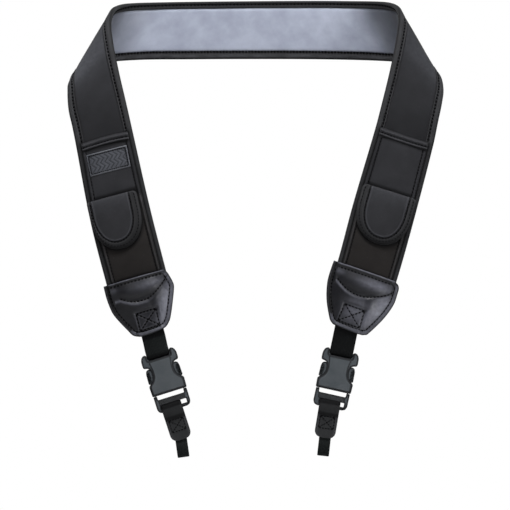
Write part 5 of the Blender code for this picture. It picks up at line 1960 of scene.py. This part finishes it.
@dataclass
class Chain(ArmPart):
    """What hangs from one end cap: webbing, buckle, tab and lug loop."""

    web_width: float = 23.5
    lug_width: float = 11.8
    tab_width: float = 21.0
    tab_foot: float = 33.0
    thread: Thread = Thread(radius=0.4, stitch=2.3, gap=0.4)

    # The front halves of the folded paths, as (depth, down) points, each to the middle of its turn.
    WEB_PATH = ((-0.8, -42), (-0.8, -32), (-0.85, -22), (-1.2, -14), (-2, -9), (-2.65, -5.4),
                (-2.75, -3.4), (-2.2, -1.2), (0, -0.3))
    TAB_PATH = ((-1.5, 26), (-1.55, 18), (-1.6, 12.6), (-1.9, 10.4), (-3.4, 7.6), (-4.4, 4.8), (-4.75, 1.6),
                (-4.5, -1.6), (-3.1, -3.9), (0, -4.6))
    LUG_PATH = ((-0.75, -9), (-0.75, -4.5), (-0.85, -1.5), (-1.7, 1.4), (-2.9, 3.9), (-3.4, 6.6), (-3.35, 9.8),
                (-2.7, 12.8), (0, 14.8))

    def build(self) -> None:
        """Builds the chain from the top down."""
        self.build_web()
        Buckle(self.bench, self.arm).build()
        self.build_tab()
        self.build_lug_loop()

    def build_web(self) -> None:
        """The wide webbing, folded round the socket's bar with both its ends in the end cap."""
        shape = Shape()
        is_left = self.arm is LEFT
        # Painted shade on the webbing: shadows by the end cap's foot and in the buckle's slot, and the right
        # webbing painted darker all along, as the shade of its cap.
        dim = 0.1 if is_left else 0.7
        shade = ((-27, 0.85), (-21.5, 0.8), (-19, dim), (-7, dim), (-3, 0.75), (0, 1))
        drift = ((-42, 1.8), (-22, 1.2), (-7, 0.1), (0, 0)) if is_left else ((-42, -0.5), (0, -0.1))
        Band(self.arm.buckle, self.web_width, 1.4, 33, drift, shade).along(shape, self.folded(self.WEB_PATH), 150)
        self.finish("wide_webbing", shape, Finish.WEBBING, "web", sharp=60)

    @staticmethod
    def folded(half: Knots) -> Knots:
        """A path that comes back behind its front half, whose last point lies at the turn."""
        return [*half, *sided(half[-2::-1], -1)]

    def build_tab(self) -> None:
        """The tab, folded round the frame's lower bar and sewn flat, with a round lower end."""
        foot, corner = self.tab_foot, 6.5
        length = 2 * foot + 11

        def widths(share: Array) -> Array:
            """The tab's width, rounded off towards its lower end."""
            end = np.clip(corner - np.minimum(share, 1 - share) * length, 0, corner)
            return 1 - (corner - np.sqrt(np.clip(corner**2 - end**2, 0, None))) * 2 / self.tab_width

        shape = Shape()
        # Painted shade over the top of the fold and in the crease above the box of stitches.
        shade = ((-4, 0.95), (-1.8, 0.9), (0, 0.3), (6.6, 0.3), (8.6, 0.8), (10.4, 0.8), (12.2, 0.1), (30, 0))
        path = self.folded([(-1.45, foot), *self.TAB_PATH])
        Band(self.arm.tab, self.tab_width, 2.5, 31, shade=shade, pale=0.3).along(shape, path, 130, widths)
        self.finish("sewn_tab", shape, Finish.TAB, "tab", sharp=60)
        stitches = Shape()
        half, top, low = 7.3, 11.6, 23.6
        box = np.array([(-half, top), (half, top), (half, low), (-half, low), (-half, top)])
        rows = [np.linspace(start, end, 10) for start, end in zip(box, box[1:])]
        rows += [np.linspace(box[0], box[2], 14), np.linspace(box[1], box[3], 14)]
        hang = self.arm.tab
        for row in rows:
            for face in (-1, 1):
                depth = np.interp(row[:, 1], [10.4, 12.6, 18, 26], [3.3, 3, 2.95, 2.85]) * face
                points = hang.place(row[:, 0], depth, row[:, 1])
                self.thread.sew(stitches, points, hang.place(row[:, 0], depth + face, row[:, 1]) - points)
        self.finish_stitches("tab_stitches", stitches, "tab_fabric")

    def build_lug_loop(self) -> None:
        """The narrow webbing out of the tab, opened into a loop at its foot."""
        shape = Shape()
        Band(self.arm.lug, self.lug_width, 1.35, columns=23).along(shape, self.folded(self.LUG_PATH), 90)
        self.finish("narrow_webbing", shape, Finish.WEBBING, "lug_loop", sharp=60)


# ---- Studio ----
@dataclass(frozen=True)
class SoftBox:
    """A rectangular studio light."""

    name: str
    place: Triple
    aim: Triple
    size: Pair
    power: float


@dataclass
class Studio:
    """The pale floor, the soft light and the camera."""

    middle: Triple = (-0.00047, 0.0, -0.22598)
    arm_depth: float = -0.085
    seen: float = 0.510
    lens: float = 900.0
    floor_level: float = -0.75
    floor_half: float = 8.0
    lights: tuple[SoftBox, ...] = (
        SoftBox("key", (-0.06, -0.42, 0.62), (0, 0, -0.1), (0.4, 0.24), 8.4),
        SoftBox("right side", (1, -1.1, -0.55), (0, -0.07, -0.27), (0.6, 0.36), 6.5),
        SoftBox("upper front", (0.2, -1.9, 0.95), (0, 0, -0.2), (0.7, 0.5), 5.2),
        SoftBox("back fill", (-0.5, 1.9, -0.1), (0, 0, -0.2), (0.9, 0.9), 14),
    )

    def build(self) -> None:
        """Builds the studio."""
        self.build_floor()
        self.build_world()
        for box in self.lights:
            self.build_light(box)
        self.build_camera()

    def build_floor(self) -> None:
        """A wide pale floor well below the strap."""
        mesh = bpy.data.meshes.new("floor")
        half = self.floor_half
        corners = [(x * half, y * half, self.floor_level) for x, y in ((-1, -1), (1, -1), (1, 1), (-1, 1))]
        mesh.from_pydata(corners, [], [(0, 1, 2, 3)])
        floor = bpy.data.objects.new("floor", mesh)
        bpy.context.scene.collection.objects.link(floor)
        material = bpy.data.materials.new("pale_floor")
        material.use_nodes = True
        desk = Desk(material.node_tree)
        place = desk.put("TexCoord").outputs["Object"]
        tone = desk.blend(desk.noise(place, 1.5, 2), (0.9, 0.9, 0.9, 1), (0.93, 0.93, 0.93, 1))
        shader = desk.put("BsdfPrincipled", {"Base Color": tone, "Roughness": 0.9, "Specular IOR Level": 0.1})
        desk.seen_as(shader, desk.put("Emission", {"Color": tone}), "OutputMaterial")
        mesh.materials.append(material)

    def build_world(self) -> None:
        """A white room: bright behind and above the strap, darker where the camera stands."""
        world = bpy.data.worlds.new("white room")
        bpy.context.scene.world = world
        world.use_nodes = True
        desk = Desk(world.node_tree)
        way = desk.put("SeparateXYZ", {0: desk.put("TexCoord").outputs["Generated"]}).outputs
        behind = desk.spread(way["Y"], (-0.4, 0.9), (0.03, 0.25))
        above = desk.spread(way["Z"], (-0.1, 1), (0, 0.22))
        white = {"Color": (1, 1, 1, 1)}
        room = desk.put("Background", {**white, "Strength": desk.math("ADD", behind, above)})
        desk.seen_as(room, desk.put("Background", {**white, "Strength": 1}), "OutputWorld")

    def build_light(self, box: SoftBox) -> None:
        """Builds one soft box, turned to what it lights.

        Args:
            box: its name, place, size and power.
        """
        data = bpy.data.lights.new(box.name, "AREA")
        data.shape = "RECTANGLE"
        data.size, data.size_y = box.size
        data.energy = box.power
        data.color = (0.96, 0.97, 1)
        light = bpy.data.objects.new(box.name, data)
        bpy.context.scene.collection.objects.link(light)
        light.location = box.place
        light.rotation_euler = (Vector(box.aim) - Vector(box.place)).to_track_quat("-Z", "Y").to_euler()

    def build_camera(self) -> None:
        """A long lens straight in front of the strap."""
        data = bpy.data.cameras.new("camera")
        data.lens = self.lens
        data.sensor_width = 36
        distance = self.seen * data.lens / data.sensor_width
        data.clip_start, data.clip_end = 0.5, distance + 40
        camera = bpy.data.objects.new("camera", data)
        bpy.context.scene.collection.objects.link(camera)
        camera.location = (self.middle[0], self.arm_depth - distance, self.middle[2])
        camera.rotation_euler = (math.pi / 2, 0, 0)
        bpy.context.scene.camera = camera
        bpy.context.scene.view_settings.view_transform = "Standard"


def main() -> None:
    """Builds the strap piece by piece, then the studio."""
    logging.basicConfig(level=logging.INFO, format="%(name)s: %(message)s")
    bench = Bench()
    NeckStrip(bench).build()
    for arm in (LEFT, RIGHT):
        Pocket(bench, arm).build()
        EndCap(bench, arm).build()
        Chain(bench, arm).build()
    Studio().build()
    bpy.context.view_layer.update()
    LOG.info("%d pieces, %d faces", len(bench.made), sum(len(piece.data.polygons) for piece in bench.made))


if __name__ == "__main__":
    main()
